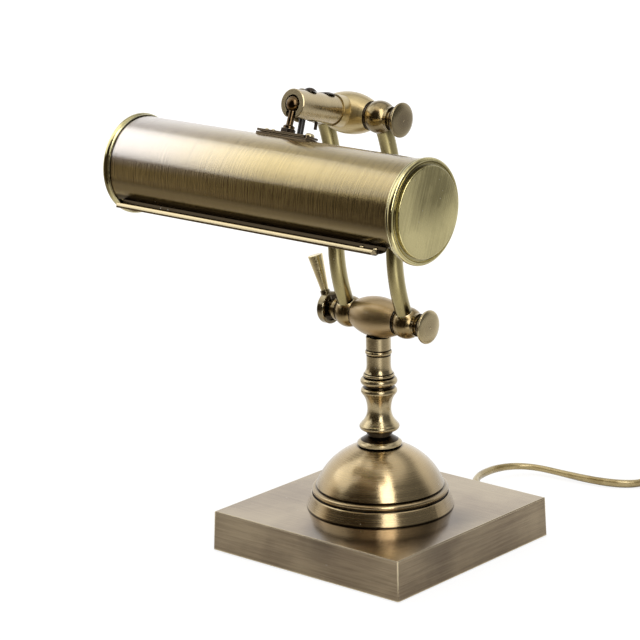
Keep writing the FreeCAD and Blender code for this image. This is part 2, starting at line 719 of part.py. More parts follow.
def make_baluster():
    """Turned baluster: bead, waist, shoulder, three beads and a necked top."""
    bore = tube_r + fit
    foot = stem_2
    bead_top = (vase_bead_r - 3.0, foot + 6.3)
    waist_z, shoulder_z = foot + 16.0, foot + 25.8
    steps = [(bore, foot), (neck_r + 1.0, foot)]
    steps += bead((vase_bead_r - 2.9, foot + 0.9), (vase_bead_r, foot + 3.6), bead_top)
    steps += [(waist_r + 1.4, foot + 6.9),
              arc(sweep_radius(1.4, waist_z - foot - 6.9), -1), (waist_r, waist_z),
              arc(sweep_radius(shoulder_r - waist_r, shoulder_z - waist_z), -1),
              (shoulder_r, shoulder_z), (shoulder_r - 0.3, foot + 27.2),
              (shoulder_r - 1.5, foot + 28.1)]
    steps += bead((wide_bead_r - 1.9, foot + 28.6), (wide_bead_r, foot + 31.5),
                  (wide_bead_r - 2.1, foot + 34.0))
    steps += bead((upper_bead_r - 0.9, foot + 34.4), (upper_bead_r, foot + 36.4),
                  (upper_bead_r - 0.8, foot + 39.1))
    steps += [(neck_r, foot + 43.6), (neck_r, foot + 50.1), (neck_r - 0.4, foot + 50.6),
              (neck_r - 0.4, foot + 51.2)]
    steps += bead((neck_r - 0.3, foot + 51.3), (top_bead_r, foot + 52.8),
                  (neck_r - 0.4, foot + 54.4))
    steps += [(neck_r - 0.4, ferrule_foot - seat), (bore, ferrule_foot - seat)]
    return keep("baluster", turned("baluster", steps))


def make_ferrule():
    """Plain ferrule that carries the lower barrel."""
    bore, top = tube_r + fit, lower_z - barrel_flat - seat
    ferrule = turned("ferrule", [
        (bore, ferrule_foot), (ferrule_r - 0.3, ferrule_foot), (ferrule_r, ferrule_foot + 0.3),
        (ferrule_r, top - 0.3), (ferrule_r - 0.3, top), (bore, top)])
    return keep("ferrule", ferrule)


# ---------------------------------------------------------------- swivels

barrel_curve = (barrel_half * barrel_half + (barrel_r - barrel_end_r) * (barrel_r - barrel_end_r)) \
    / ((barrel_r - barrel_end_r) * 2)
ball_start = barrel_half + washer_ring + seat * 2
ball_stop = arm_x + ball_out
ball_start_r = root(ball_r * ball_r - (arm_x - ball_start) * (arm_x - ball_start))
ball_stop_r = root(ball_r * ball_r - ball_out * ball_out)
neck_start = ball_stop + 0.1 + ring_wide
knob_start = neck_start + spigot_long + seat


def barrel_body(name, centre):
    """Barrel turned about X, with the axle's bore."""
    bore = axle_r + fit
    made = turned(name, [
        (-barrel_half, bore), (barrel_half, bore), (barrel_half, barrel_end_r),
        arc(barrel_curve, 1), (-barrel_half, barrel_end_r)], axis="H_Axis")
    centre.put(made)
    return made


def make_lower_barrel():
    """Lower barrel with a flat seat and a threaded hole for the stem."""
    made = barrel_body("lower_barrel_body", lower)
    spot = rod("lower_barrel_seat", ferrule_r + 0.4, barrel_r)
    place(spot, 0, 0, lower_z - barrel_flat - barrel_r)
    thread = rod("lower_barrel_thread", tube_r + fit, barrel_r)
    place(thread, 0, 0, lower_z - axle_r - 2.3 - barrel_r)
    return keep("lower_barrel", cut_from("lower_barrel", made, spot, thread))


def make_upper_barrel():
    """Upper barrel with a boss that holds the bar's tenon."""
    made = barrel_body("upper_barrel_body", upper)
    boss = rod("upper_barrel_boss", boss_r, bar_start - seat)
    bar.put(boss)
    bore = rod("upper_barrel_axle_bore", axle_r + fit, barrel_half * 2)
    place(bore, -barrel_half, upper_y, upper_z, axis=(0, 1, 0), turn=90)
    socket = rod("upper_barrel_socket", tenon_r + fit, bar_start)
    bar.put(socket, 0, 0, tenon_start - fit)
    whole = joined("upper_barrel", made, boss)
    return keep("upper_barrel", cut_from("upper_barrel", whole, bore, socket))


def make_axle(name, centre, left, right):
    axle = rod(name, axle_r, left + right)
    place(axle, -left, centre.y, centre.z, axis=(0, 1, 0), turn=90)
    return keep(name, axle)


def make_washers(name, centre):
    """The friction washers on both sides of a barrel."""
    pair = []
    for side in (-1, 1):
        inner = barrel_half + seat
        ring = turned(f"{name}_{'left' if side < 0 else 'right'}", [
            (inner, axle_r + fit), (inner + washer_ring, axle_r + fit),
            (inner + washer_ring, washer_ring_r), (inner, washer_ring_r)], axis="H_Axis")
        place(ring, 0, centre.y, centre.z, turn=0 if side > 0 else 180)
        pair.append(ring)
    return keep(name, group(name, pair))


def make_ball(name, centre, side, up):
    """Swivel ball with its outer ring and neck, bored for the axle and socketed for the arm."""
    bore = axle_r + fit
    end = neck_start + spigot_long
    made = turned(name + "_body", [
        (ball_start, bore), (end, bore), (end, spigot_r), (neck_start, spigot_r),
        (neck_start, ring_r), (ball_stop + 0.1, ring_r), (ball_stop, ball_stop_r),
        arc(ball_r, 1), (ball_start, ball_start_r)], axis="H_Axis")
    place(made, 0, centre.y, centre.z, turn=0 if side > 0 else 180)
    socket = rod(name + "_socket", arm_r + fit * 2, ball_r)
    lean, start_lean = arm_lean(arm_seat + 2), arm_lean(arm_seat / 2)
    start = arm_seat - fit * 3
    place(socket, arm_x * side, centre.y - start * sine(start_lean) * up,
          centre.z + start * cosine(start_lean) * up, axis=(1, 0, 0),
          turn=lean if up > 0 else lean + 180)
    return keep(name, cut_from(name, made, socket))


arm_shift = upper_y / -2
arm_curve = sweep_radius(arm_shift, arm_bow)


def arm_lean(along):
    """Lean of an arm at a distance along it from its ball's centre."""
    full = Size(math.degrees(math.asin(num(arm_bow) / num(arm_curve))),
                f"(asin({arm_bow.formula} / {arm_curve.formula}) / 1 deg)")
    return full - (along / arm_curve) * (180 / math.pi)


def make_arm(name, side):
    """Curved tube from the lower ball to the upper ball: bow, straight run, bow."""
    lean = arm_lean(arm_seat)
    low_y = -(arm_shift - arm_curve * (1 - cosine(lean)))
    low_z = lower_z + arm_bow - arm_curve * sine(lean)
    path = doc.addObject("Sketcher::SketchObject", name + "_path")
    place(path, arm_x * side, 0, 0, axis=(1, 1, 1), turn=120)
    points = [(low_y, low_z), (-arm_shift, lower_z + arm_bow), (-arm_shift, upper_z - arm_bow),
              (upper_y - low_y, upper_z + lower_z - low_z)]
    open_outline(path, points, {0: (arm_curve, -1), 2: (arm_curve, 1)})
    tubes = []
    for part_name, radius in (("skin", arm_r), ("bore", arm_bore)):
        ring = doc.addObject("Part::Circle", f"{name}_{part_name}_ring")
        bind(ring, "Radius", radius)
        place(ring, arm_x * side, low_y, low_z, axis=(1, 0, 0), turn=lean)
        sweep = doc.addObject("Part::Sweep", f"{name}_{part_name}")
        sweep.Sections = [ring]
        sweep.Spine = (path, ["Edge1", "Edge2", "Edge3"])
        sweep.Solid = True
        tubes.append(sweep)
    return keep(name, cut_from(name, tubes[0], tubes[1]))


def open_outline(drawing, points, bends):
    """Draws an open line through points, some of its steps as arcs, all pinned."""
    rules, bound, ends = [], [], []
    for i in range(len(points) - 1):
        a = Vector(num(points[i][0]), num(points[i][1]), 0)
        b = Vector(num(points[i + 1][0]), num(points[i + 1][1]), 0)
        if i not in bends:
            drawing.addGeometry(Part.LineSegment(a, b), False)
            ends.append((1, 2))
            continue
        radius, side = bends[i]
        chord = b - a
        left = Vector(-chord.y, chord.x, 0).normalize()
        reach_in = math.sqrt(num(radius) ** 2 - (chord.Length / 2) ** 2)
        centre = (a + b) * 0.5 + left * reach_in * side
        start, stop = (a, b) if side > 0 else (b, a)
        low = math.atan2(start.y - centre.y, start.x - centre.x)
        high = math.atan2(stop.y - centre.y, stop.x - centre.x)
        if high <= low:
            high += 2 * math.pi
        circle = Part.Circle(centre, Vector(0, 0, 1), num(radius))
        drawing.addGeometry(Part.ArcOfCircle(circle, low, high), False)
        ends.append((1, 2) if side > 0 else (2, 1))
        rules.append(Constraint("Radius", i, num(radius)))
        bound.append((len(rules) - 1, radius))
    for i, (x, y) in enumerate(points):
        at = (i, ends[i][0]) if i < len(ends) else (i - 1, ends[i - 1][1])
        if 0 < i < len(ends):
            rules.append(Constraint("Coincident", i - 1, ends[i - 1][1], *at))
        for kind, value in (("DistanceX", x), ("DistanceY", y)):
            rules.append(Constraint(kind, -1, 1, *at, num(value)))
            bound.append((len(rules) - 1, value))
    pin(drawing, rules, bound)


def make_knob(name, centre, side):
    """End knob screwed on an axle: boss, rounded rim and slightly domed face."""
    inner, outer, bore = knob_start, knob_start + knob_thick, axle_r + fit
    rim = inner + 0.6
    made = turned(name, [
        (inner, bore), (inner + knob_deep, bore), (inner + knob_deep, 0), (outer + 0.3, 0),
        (outer, knob_r - knob_edge), arc(knob_edge, 1), (outer - knob_edge, knob_r),
        (rim + knob_edge, knob_r), arc(knob_edge, 1), (rim, knob_r - knob_edge),
        (rim, spigot_r - 0.7), (inner, spigot_r - 0.7)], axis="H_Axis")
    place(made, 0, centre.y, centre.z, turn=0 if side > 0 else 180)
    return made


axle_reach = knob_start + knob_deep - fit


# ---------------------------------------------------------------- clamp lever

lever_out = 0.963
lever_front = 0.269
lever_axis = (lever_front, -lever_out, 0)


def lever_point(along):
    """A point on the lever's own axis, from the middle of its root boss."""
    out = sine(lever_lean) * along
    return (-(knob_start + 3.4) - out * lever_out, -2.0 - out * lever_front,
            lower_z + 3.2 + cosine(lever_lean) * along)


def make_lever_hub():
    """Round nut on the axle's left end, recessed inside, with a boss that takes the lever."""
    inner, bore = knob_start, axle_r + fit
    outer = inner + hub_thick
    disc = turned("lever_hub_disc", [
        (inner, bore), (outer - 2.2, bore), (outer - 2.2, 0), (outer + 0.3, 0),
        (outer - 0.2, hub_r - 2.0), arc(root(3.6), 1), (outer - 1.6, hub_r),
        (inner + 1.8, hub_r), (inner + 1.4, hub_r - 0.4), (inner + 1.4, hub_r - 2.0),
        (inner + 2.6, hub_r - 2.0), (inner + 2.6, spigot_r - 0.5), (inner, spigot_r - 0.5)],
        axis="H_Axis")
    place(disc, 0, 0, lower_z, turn=180)
    boss = rod("lever_hub_boss", lever_boss_r, lever_boss)
    place(boss, *lever_point(0), axis=lever_axis, turn=lever_lean)
    hole = rod("lever_hub_hole", lever_pin_r + fit, 5.0)
    place(hole, *lever_point(lever_boss - 4.0), axis=lever_axis, turn=lever_lean)
    axle_bore = rod("lever_hub_bore", axle_r + fit, hub_thick - 2.2)
    place(axle_bore, -(outer - 2.2), 0, lower_z, axis=(0, 1, 0), turn=90)
    whole = joined("lever_hub", disc, boss)
    return keep("lever_hub", cut_from("lever_hub", whole, hole, axle_bore))


def make_lever_handle():
    """Tapered lever with a flat end and a pin in the hub."""
    handle = turned("lever_handle", [
        (0, -3.5), (lever_pin_r, -3.5), (lever_pin_r, 0), (lever_root_r, 0),
        (lever_tip_r, lever_long - 0.3), (lever_tip_r - 0.3, lever_long), (0, lever_long)])
    place(handle, *lever_point(lever_boss + seat), axis=lever_axis, turn=lever_lean)
    return keep("lever_handle", handle)


# ---------------------------------------------------------------- bar and ball joint

def make_bar():
    """Round bar with a tenon behind, a bore from the front and a slot along its underside."""
    made = turned("shade_bar_body", [
        (0, tenon_start), (tenon_r, tenon_start), (tenon_r, bar_start), (bar_r, bar_start),
        (bar_r, bar_end - 0.4), (bar_r - 0.4, bar_end), (bar_bore, bar_end),
        (bar_bore, bar_bore_start), (0, bar_bore_start)])
    bar.put(made)
    slot = primitive("Box", "shade_bar_slot", Length=slot_wide, Width=bar_r * 2,
                     Height=bar_end - slot_start + 5)
    bar.put(slot, slot_wide / -2, bar_r * -2, slot_start)
    tools = [slot]
    for name, at, radius, deep in (("front", front_screw_at, 2.0, bar_r - bar_bore + 1),
                                   ("rear", rear_screw_at, 2.0, 5.0)):
        tool = rod(f"shade_bar_{name}_hole", radius + fit, deep + 2)
        place(tool, *bar.point(0, bar_r - deep, at), axis=(-1, 0, 0), turn=bar_rise)
        tools.append(tool)
    grub_hole = rod("shade_bar_grub_hole", grub_r + fit, bar_r)
    place(grub_hole, *bar.point(0, bar_bore * -2, grub_at), axis=(-1, 0, 0), turn=bar_rise)
    tools.append(grub_hole)
    return keep("shade_bar", cut_from("shade_bar", made, *tools))


def make_bar_screws():
    """Two low-headed screws on top of the bar."""
    screws = []
    for name, at, radius, high, deep in (
            ("front", front_screw_at, front_screw_r, front_screw_high, bar_r - bar_bore),
            ("rear", rear_screw_at, rear_screw_r, rear_screw_high, 4.5)):
        foot = 0.3
        dome_curve = ((radius - 0.8) * (radius - 0.8) + (high - foot) * (high - foot)) \
            / ((high - foot) * 2)
        screw = turned(f"bar_screw_{name}", [
            (0, -deep), (2.0, -deep), (2.0, fit), (radius - 1.5, fit), (radius, foot),
            (radius - 0.8, foot + 0.2), arc(dome_curve, 1), (0, high + 0.2)])
        place(screw, *bar.point(0, bar_r, at), axis=(-1, 0, 0), turn=bar_rise)
        screws.append(screw)
    return keep("bar_screws", group("bar_screws", screws))


def make_grub_screw():
    grub = rod("grub_screw", grub_r, grub_drop + bar_r - bar_bore)
    place(grub, *bar.point(0, -(bar_r + grub_drop), grub_at), axis=(-1, 0, 0), turn=bar_rise)
    return keep("grub_screw", grub)


def make_ball_seat():
    """Half plug in the top of the bar's bore that presses on the ball."""
    plug = body("ball_seat_body")
    radius = bar_bore - fit
    low = 1.0
    side = root(radius * radius - low * low)
    drawing = drawing_on(plug, "XY_Plane", ball_at - small_ball_r - 6)
    outline(drawing, [(side, low), arc(radius, 1), (-side, low)])
    padded(plug, drawing, 5 + small_ball_r)
    bar.put(plug)
    pocket = primitive("Sphere", "ball_seat_pocket", Radius=small_ball_r + fit)
    bar.put(pocket, 0, 0, ball_at)
    return keep("ball_seat", cut_from("ball_seat", plug, pocket))


strap_foot = shade_r + seat
strap_mid = strap_foot + strap_thick + seat
strap_top = strap_mid + strap_thick


def make_ball_stud():
    """Ball, stud, collar and thread in one turned piece."""
    collar = strap_top + nut_high + seat * 2
    meet = reach - root(small_ball_r * small_ball_r - stud_r * stud_r)
    stud = turned("ball_stud", [
        (0, shade_r - 5.5), (stud_r, shade_r - 5.5), (stud_r, collar), (3.5, collar),
        (3.5, collar + 1.6), (stud_r, collar + 2.4), (stud_r, meet), arc(small_ball_r, 1),
        (0, reach + small_ball_r)])
    neck.put(stud)
    return keep("ball_stud", stud)


def make_stud_nuts():
    """Hexagon nuts on the stud, one on the bracket and one inside the shade."""
    inner_top = root((shade_r - shade_wall) * (shade_r - shade_wall) - nut_r * nut_r) - seat
    nuts = []
    for name, foot in (("outer", strap_top + seat), ("inner", inner_top - nut_high)):
        prism = primitive("Prism", f"stud_nut_{name}", Circumradius=nut_r, Height=nut_high)
        prism.Polygon = 6
        neck.put(prism, 0, 0, foot)
        bore = rod(f"stud_nut_{name}_bore", stud_r + fit, nut_high * 3)
        neck.put(bore, 0, 0, foot - nut_high)
        nuts.append(cut_from(f"stud_nut_{name}", prism, bore))
    return keep("stud_nuts", group("stud_nuts", nuts))


# ---------------------------------------------------------------- shade

def stud_tool(name, radius):
    tool = rod(name, radius, strap_top)
    neck.put(tool, 0, 0, shade_r - 8)
    return tool


def screw_tool(name):
    tool = rod(name, 1.5 + fit, strap_top)
    neck.put(tool, strap_screw_at, 0, shade_r - 8)
    return tool


def make_bracket_saddle():
    """Curved strip that fits the shade under the bracket's plate."""
    strip = body("bracket_saddle_body")
    half, inner, outer = strap_wide / 2 - 0.3, strap_foot, strap_foot + strap_thick
    drawing = drawing_on(strip, "YZ_Plane")
    outline(drawing, [
        (half, root(inner * inner - half * half)), (half, root(outer * outer - half * half)),
        arc(outer, 1), (-half, root(outer * outer - half * half)),
        (-half, root(inner * inner - half * half)), arc(inner, -1)])
    padded(strip, drawing, strap_half * 2 - 1, symmetric=True)
    neck.put(strip)
    return keep("bracket_saddle", cut_from("bracket_saddle", strip,
                                           stud_tool("bracket_saddle_bore", stud_r + fit),
                                           screw_tool("bracket_saddle_hole")))


def make_bracket_plate():
    """Flat plate between the saddle and the stud's nut."""
    plate = body("bracket_plate_body")
    drawing = drawing_on(plate, "XY_Plane", strap_mid)
    round_box(drawing, strap_half, strap_wide / 2, strap_corner)
    padded(plate, drawing, strap_thick)
    neck.put(plate)
    return keep("bracket_plate", cut_from("bracket_plate", plate,
                                          stud_tool("bracket_plate_bore", stud_r + fit),
                                          screw_tool("bracket_plate_hole")))


def make_bracket_screw():
    """Round-headed screw at the bracket's right end."""
    inner = shade_r - 3.5
    screw = turned("bracket_screw", [
        (0, inner), (1.5, inner), (1.5, strap_top + fit), (strap_screw_r, strap_top + fit),
        (strap_screw_r, strap_top + 0.7), arc(root(3.4), 1),
        (strap_screw_r - 1.3, strap_top + 1.9), (0, strap_top + 2.1)])
    neck.put(screw, strap_screw_at, 0, 0)
    return keep("bracket_screw", screw)


def make_shade_tube():
    """Rolled sheet, open along its underside, with holes for stud, screw and lead."""
    roll = body("shade_tube_body")
    drawing = drawing_on(roll, "XZ_Plane")
    outline(drawing, [(-shade_half, shade_r - shade_wall), (shade_half, shade_r - shade_wall),
                      (shade_half, shade_r), (-shade_half, shade_r)])
    spun = roll.newObject("PartDesign::Revolution", "shade_tube_roll")
    spun.Profile = drawing
    spun.ReferenceAxis = (drawing, ["H_Axis"])
    spun.Midplane = True
    bind(spun, "Angle", 360 - shade_open)
    shade.put(roll)
    lead_hole = rod("shade_tube_lead_hole", lead_r + 0.3, shade_r)
    neck.put(lead_hole, 0, lead_back, shade_r - 8)
    return keep("shade_tube", cut_from("shade_tube", roll,
                                       stud_tool("shade_tube_bore", stud_r + fit * 2),
                                       screw_tool("shade_tube_hole"), lead_hole))


def edge_point(radius, angle):
    """A point by radius and angle forward of straight down, from the shade's axis."""
    return -(radius * sine(angle)), -(radius * cosine(angle))


def make_front_lip():
    """Folded strip: a leaf inside the shade's front edge and a flange that stands forward."""
    strip = body("front_lip_body")
    inner = shade_r - shade_wall - 0.25
    run_y, run_z = lip_wide * cosine(lip_droop), lip_wide * sine(lip_droop)
    down_y, down_z = lip_thick * sine(lip_droop), lip_thick * cosine(lip_droop)
    tip_y, tip_z = lip_corner_y - run_y, lip_corner_z - run_z - 0.1
    bend = edge_point(inner, half_open - 1.2)
    leaf = edge_point(inner, half_open + 13)
    leaf_in = edge_point(inner - lip_thick, half_open + 13)
    bend_in = edge_point(inner - lip_thick, half_open - 2.6)
    drawing = drawing_on(strip, "YZ_Plane")
    outline(drawing, [(tip_y, tip_z), (tip_y + down_y, tip_z - down_z), bend_in, leaf_in,
                      leaf, bend])
    padded(strip, drawing, lip_half * 2, symmetric=True)
    shade.put(strip)
    holes = []
    for index in range(2):
        hole = rod(f"front_lip_hole{index}", 0.9 + fit, 6)
        lip.put(hole, rivet_first + rivet_pitch * index, -3.4, -3)
        holes.append(hole)
    return keep("front_lip", cut_from("front_lip", strip, *holes))


def make_lip_rivets():
    """Two round-headed rivets that hold the lampholder's bracket to the lip."""
    rivets = []
    for index in range(2):
        rivet = turned(f"lip_rivet{index}", [
            (0, -2.8), (0.9, -2.8), (0.9, 0.1), (rivet_r, 0.1), (rivet_r, 0.4),
            (rivet_r - 0.6, 0.9), (0, 1.1)])
        lip.put(rivet, rivet_first + rivet_pitch * index, -3.4, 0)
        rivets.append(rivet)
    return keep("lip_rivets", group("lip_rivets", rivets))


def make_cap(name, side):
    """Spun end cap: tongue inside the tube, rim bead, inner bead, groove and domed face."""
    face, bore = cap_face_r, shade_r - shade_wall
    end = shade_half + seat
    steps = [(shade_half - cap_tongue, bore - 0.9), (shade_half - cap_tongue, bore - seat * 2),
             (end, bore - seat * 2), (end, shade_r + seat * 2),
             (shade_half - 1.1, shade_r + seat * 2), (shade_half - 1.1, cap_r - 0.9)]
    steps.reverse()
    rim = bead((shade_half + 1.2, cap_r - 1.1), (shade_half, cap_r), steps[0])
    ring = bead((shade_half + 1.6, face + 0.9), (shade_half + 2.0, face + 1.8),
                (shade_half + 1.2, face + 2.3))
    made = turned(name, [
        (shade_half + 1.3, 0), (shade_half + 2.9, 0), arc(500.0, 1),
        (shade_half + 2.5, face - 0.3), (shade_half + 2.2, face), (shade_half + 0.9, face),
        (shade_half + 0.9, face + 0.9)] + ring + rim[:-1] + steps
        + [(shade_half + 0.3, face - 1.0)], axis="H_Axis")
    place(made, 0, shade_y, shade_z, turn=0 if side > 0 else 180)
    return keep(name, made)


def make_lampholder_bracket():
    """Sheet bracket: a foot riveted under the lip and a tab that carries the lampholder."""
    foot_drop = lip_thick + 0.35
    foot_start = rivet_first - foot_margin
    foot = primitive("Box", "lampholder_bracket_foot", Length=socket_back + tab_thick - foot_start,
                     Width=foot_wide, Height=tab_thick)
    lip.put(foot, foot_start, 8.0 - foot_wide, -(foot_drop + tab_thick))
    tab = body("lampholder_bracket_tab")
    drawing = drawing_on(tab, "YZ_Plane", socket_back + seat)
    foot_y, foot_z = lip_corner_y + 7.5, lip_corner_z + 0.4
    outline(drawing, [(foot_y - 5.0, foot_z - 1.6), (foot_y, foot_z - 0.6), (8.0, -4.0),
                      (8.0, 6.0), (-8.0, 6.0), (-8.0, -3.0)])
    hole_in(drawing, 0, 0, 4 + fit)
    padded(tab, drawing, tab_thick)
    shade.put(tab)
    holes = []
    for index in range(2):
        hole = rod(f"lampholder_bracket_hole{index}", 0.9 + fit, 6)
        lip.put(hole, rivet_first + rivet_pitch * index, -3.4, -5)
        holes.append(hole)
    whole = joined("lampholder_bracket", foot, tab)
    return keep("lampholder_bracket", cut_from("lampholder_bracket", whole, *holes))


def make_lampholder():
    """Lampholder with its nipple through the bracket's tab and its mouth towards -X."""
    back, front = socket_back, socket_back - socket_long
    made = turned("lampholder_shell", [
        (front, socket_bore), (front, socket_r), (back - 11, socket_r), (back - 9, 9.0),
        (back, 9.0), (back, 4.0), (back + 4.5, 4.0), (back + 4.5, 2.2), (back - 12, 2.2),
        (back - 12, socket_bore)], axis="H_Axis")
    shade.put(made)
    box = primitive("Box", "lampholder_terminal_box", Length=8.4, Width=9.5, Height=7.0)
    neck.put(box, back - 10.4, 8.0, 1.5)
    nipple = rod("lampholder_inner_bore", socket_bore, 14)
    place(nipple, back - 26, shade_y, shade_z, axis=(0, 1, 0), turn=90)
    whole = joined("lampholder", made, box)
    return keep("lampholder", cut_from("lampholder", whole, nipple))


def make_bulb():
    """Screw cap and long tubular glass of the bulb."""
    inside, mouth = socket_back - 12.5, socket_back - socket_long
    cap = turned("bulb_cap", [
        (inside, 0), (inside, 2.5), (inside - 2.0, bulb_cap_r), (mouth - 2, bulb_cap_r),
        (mouth - 2, 0)], axis="H_Axis")
    shade.put(cap)
    start, stop = mouth - 2 - seat, mouth - 2 - bulb_long
    wall = bulb_wall
    glass = turned("bulb_glass", [
        (start, 0), (start, bulb_cap_r), (start - 2, bulb_cap_r),
        (start - 9, bulb_r), (stop + bulb_r, bulb_r), arc(bulb_r, 1), (stop, 0),
        (stop + wall, 0), arc(bulb_r - wall, -1), (stop + bulb_r, bulb_r - wall),
        (start - 9, bulb_r - wall), (start - 2.5, bulb_cap_r - wall), (start - 1, 0)],
        axis="H_Axis")
    shade.put(glass)
    keep("bulb_cap", cap)
    return keep("bulb_glass", glass)


# ---------------------------------------------------------------- leads, cord, switch and plug

def plain(point):
    """A point made of sizes, as plain numbers."""
    return tuple(num(v) for v in point)


lead_exit = plain(bar.point(0, -0.6, 43.5))
lead_turn = plain(bar.point(0, -13.0, 43.5))
lead_end = plain(neck.point(0, lead_back, shade_r - 5))


def make_shade_lead():
    """Short lead from the bar's slot down into the shade, behind the ball's stud."""
    return keep("shade_lead", round_tube("shade_lead", [lead_exit, lead_turn, lead_end], lead_r))


def make_lamp_lead():
    """Lead inside the shade, from the short lead's end to the lampholder's terminal box."""
    heading = (Vector(*lead_end) - Vector(*lead_turn)).normalize()
    stop = num(socket_back) - 10.4
    points = [lead_end, tuple(Vector(*lead_end) + heading * 7)] + [
        plain(neck.point(*p)) for p in (
            (3.8, 13.2, 11.4), (11, 14.8, 8.0), (stop * 0.28, 15.6, 6.4),
            (stop * 0.515, 15.2, 5.6), (stop * 0.74, 14.9, 5.0),
            (stop * 0.885, 14.5, 5.0), (stop, 14.5, 5.0))]
    return keep("lamp_lead", round_tube("lamp_lead", points, wire_r))


def make_base_lead():
    """Lead inside the base, from the strain relief up into the threaded tube."""
    start = num(base_side / 2 - base_wall - seat - bush_flange)
    level, low = num(cord_exit_z), num(plate_top + wire_r) + 0.2
    points = [(0, start, level), (0, start - 7, level), (1.5, start - 20, level - 2.5),
              (6, start - 36, low + 0.4), (3.5, 19, low), (0, 8.8, low), (0, 3.2, low + 3.3),
              (0, 0, low + 8.8), (0, 0, low + 14.5)]
    return keep("base_lead", round_tube("base_lead", points, wire_r))


def make_cord_bush():
    """Tapered strain relief through the base's rear wall."""
    inside = -(base_wall + base_splay + seat)
    bush = turned("cord_bush", [
        (0, inside - bush_flange), (bush_flange_r, inside - bush_flange),
        (bush_flange_r, inside), (bush_neck_r, inside), (bush_neck_r, seat),
        (bush_r + 0.8, seat), (bush_r + 0.8, 1.6), (bush_r, 2.6), (bush_tip_r, bush_long),
        (0, bush_long)])
    place(bush, 0, base_side / 2 + base_splay, cord_exit_z, axis=(-1, 0, 0), turn=90)
    return keep("cord_bush", bush)


# The switch lies where the cord has left the base behind, turned to the cord's direction.
switch_at = (106.0, 239.0)
switch_turn = 47.0
switch_way = (math.cos(math.radians(switch_turn)), math.sin(math.radians(switch_turn)))
floor = num(cord_r)
coil_at = (150.0, 186.0)


def along_switch(distance, height):
    """A point on the cord's line through the switch, by its distance from the middle."""
    return (switch_at[0] + distance * switch_way[0], switch_at[1] + distance * switch_way[1],
            height)


def make_cord_lead():
    """Cord from the strain relief across the table to the switch."""
    start = num(base_side / 2 + base_splay + bush_long)
    half, level = num(switch_long / 2), num(switch_split)
    points = [(0, start, num(cord_exit_z)), (0, start + 9, num(cord_exit_z)),
              (-5.5, 125, 8.3), (-13.2, 136, 7.8), (-16.3, 147.2, 6.8), (-14.4, 158.4, 5.6),
              (-8, 168.1, 4.5), (2.8, 174.6, 3.6), (15.8, 175.9, 2.95), (29.5, 176.2, floor),
              (47.5, 179.3, floor), (61.5, 188.3, floor), along_switch(-half - 25, floor),
              along_switch(-half - 8, level), along_switch(-half, level)]
    return keep("cord_lead", round_tube("cord_lead", points, cord_r))


def make_cord_tail():
    """Cord from the switch round to the coil's outer turn."""
    half, level = num(switch_long / 2), num(switch_split)
    outer = coil_at[0] + num(coil_r) + num(cord_r) * 2
    points = [along_switch(half, level), along_switch(half + 8, level),
              along_switch(half + 25, floor), (159, 284.5, floor), (175.5, 282, floor),
              (188.5, 272, floor), (195.5, 257, floor), (195.5, 239.5, floor),
              (192.5, 222, floor), (outer + 2.5, 206.5, floor), (outer, 193, floor)]
    return keep("cord_tail", round_tube("cord_tail", points, cord_r))


def make_coil(ends):
    """Outer shape of the wound cord, with the sockets where its two ends come out."""
    low, high = coil_r - coil_section / 2, coil_r + coil_section / 2
    soft = cord_r * 0.8
    coil = turned("cord_coil_body", [
        (low, soft), (low + soft, 0), (high - soft, 0), (high, soft),
        (high, coil_section - soft), (high - soft, coil_section),
        (low + soft, coil_section), (low, coil_section - soft)])
    place(coil, *coil_at, 0)
    return keep("cord_coil", cut_from("cord_coil", coil, *ends))


plug_at = (172.5, 132.0)


def make_cord_end():
    """Cord from the coil's outer turn to the plug."""
    edge = num(coil_r) + num(cord_r) * 2
    slope = math.radians(-38)
    start = (coil_at[0] + edge * math.cos(slope), coil_at[1] + edge * math.sin(slope), floor)
    points = [start, (start[0] - 4.6, start[1] - 8.4, floor),
              (plug_at[0], plug_at[1] + 9, num(plug_thick / 2)),
              (plug_at[0], plug_at[1], num(plug_thick / 2))]
    return keep("cord_end", round_tube("cord_end", points, cord_r))


def make_plug():
    """Flat moulded plug with two blades, its sleeve towards the coil."""
    made = body("plug_body")
    half, thick = plug_wide / 2, plug_thick
    drawing = drawing_on(made, "XY_Plane")
    outline(drawing, [
        (-half, -plug_long), (half, -plug_long), (half, -10), (half - 2, -7),
        (cord_r + 1.6, -5), (cord_r + 0.9, 0), (-(cord_r + 0.9), 0), (-(cord_r + 1.6), -5),
        (2 - half, -7), (-half, -10)])
    padded(made, drawing, thick)
    place(made, *plug_at, 0)
    blades = []
    for side in (-1, 1):
        blade = primitive("Box", f"plug_blade{(side + 1) // 2}", Length=blade_thick,
                          Width=blade_long, Height=blade_wide)
        place(blade, plug_at[0] + side * blade_pitch / 2 - blade_thick / 2,
              plug_at[1] - plug_long - blade_long, (thick - blade_wide) / 2)
        blades.append(blade)
    keep("plug_body", made)
    return keep("plug_blades", group("plug_blades", blades))


def place_on_switch(thing, x, y, z, axis=(0, 0, 1), turn=0):
    """Places an object in the switch's own frame, which is turned about Z."""
    spin = FreeCAD.Rotation(Vector(0, 0, 1), switch_turn)
    shift = spin.multVec(Vector(num(x), num(y), num(z)))
    thing.Placement = FreeCAD.Placement(
        Vector(*switch_at, 0) + shift, spin * FreeCAD.Rotation(Vector(*axis), turn))


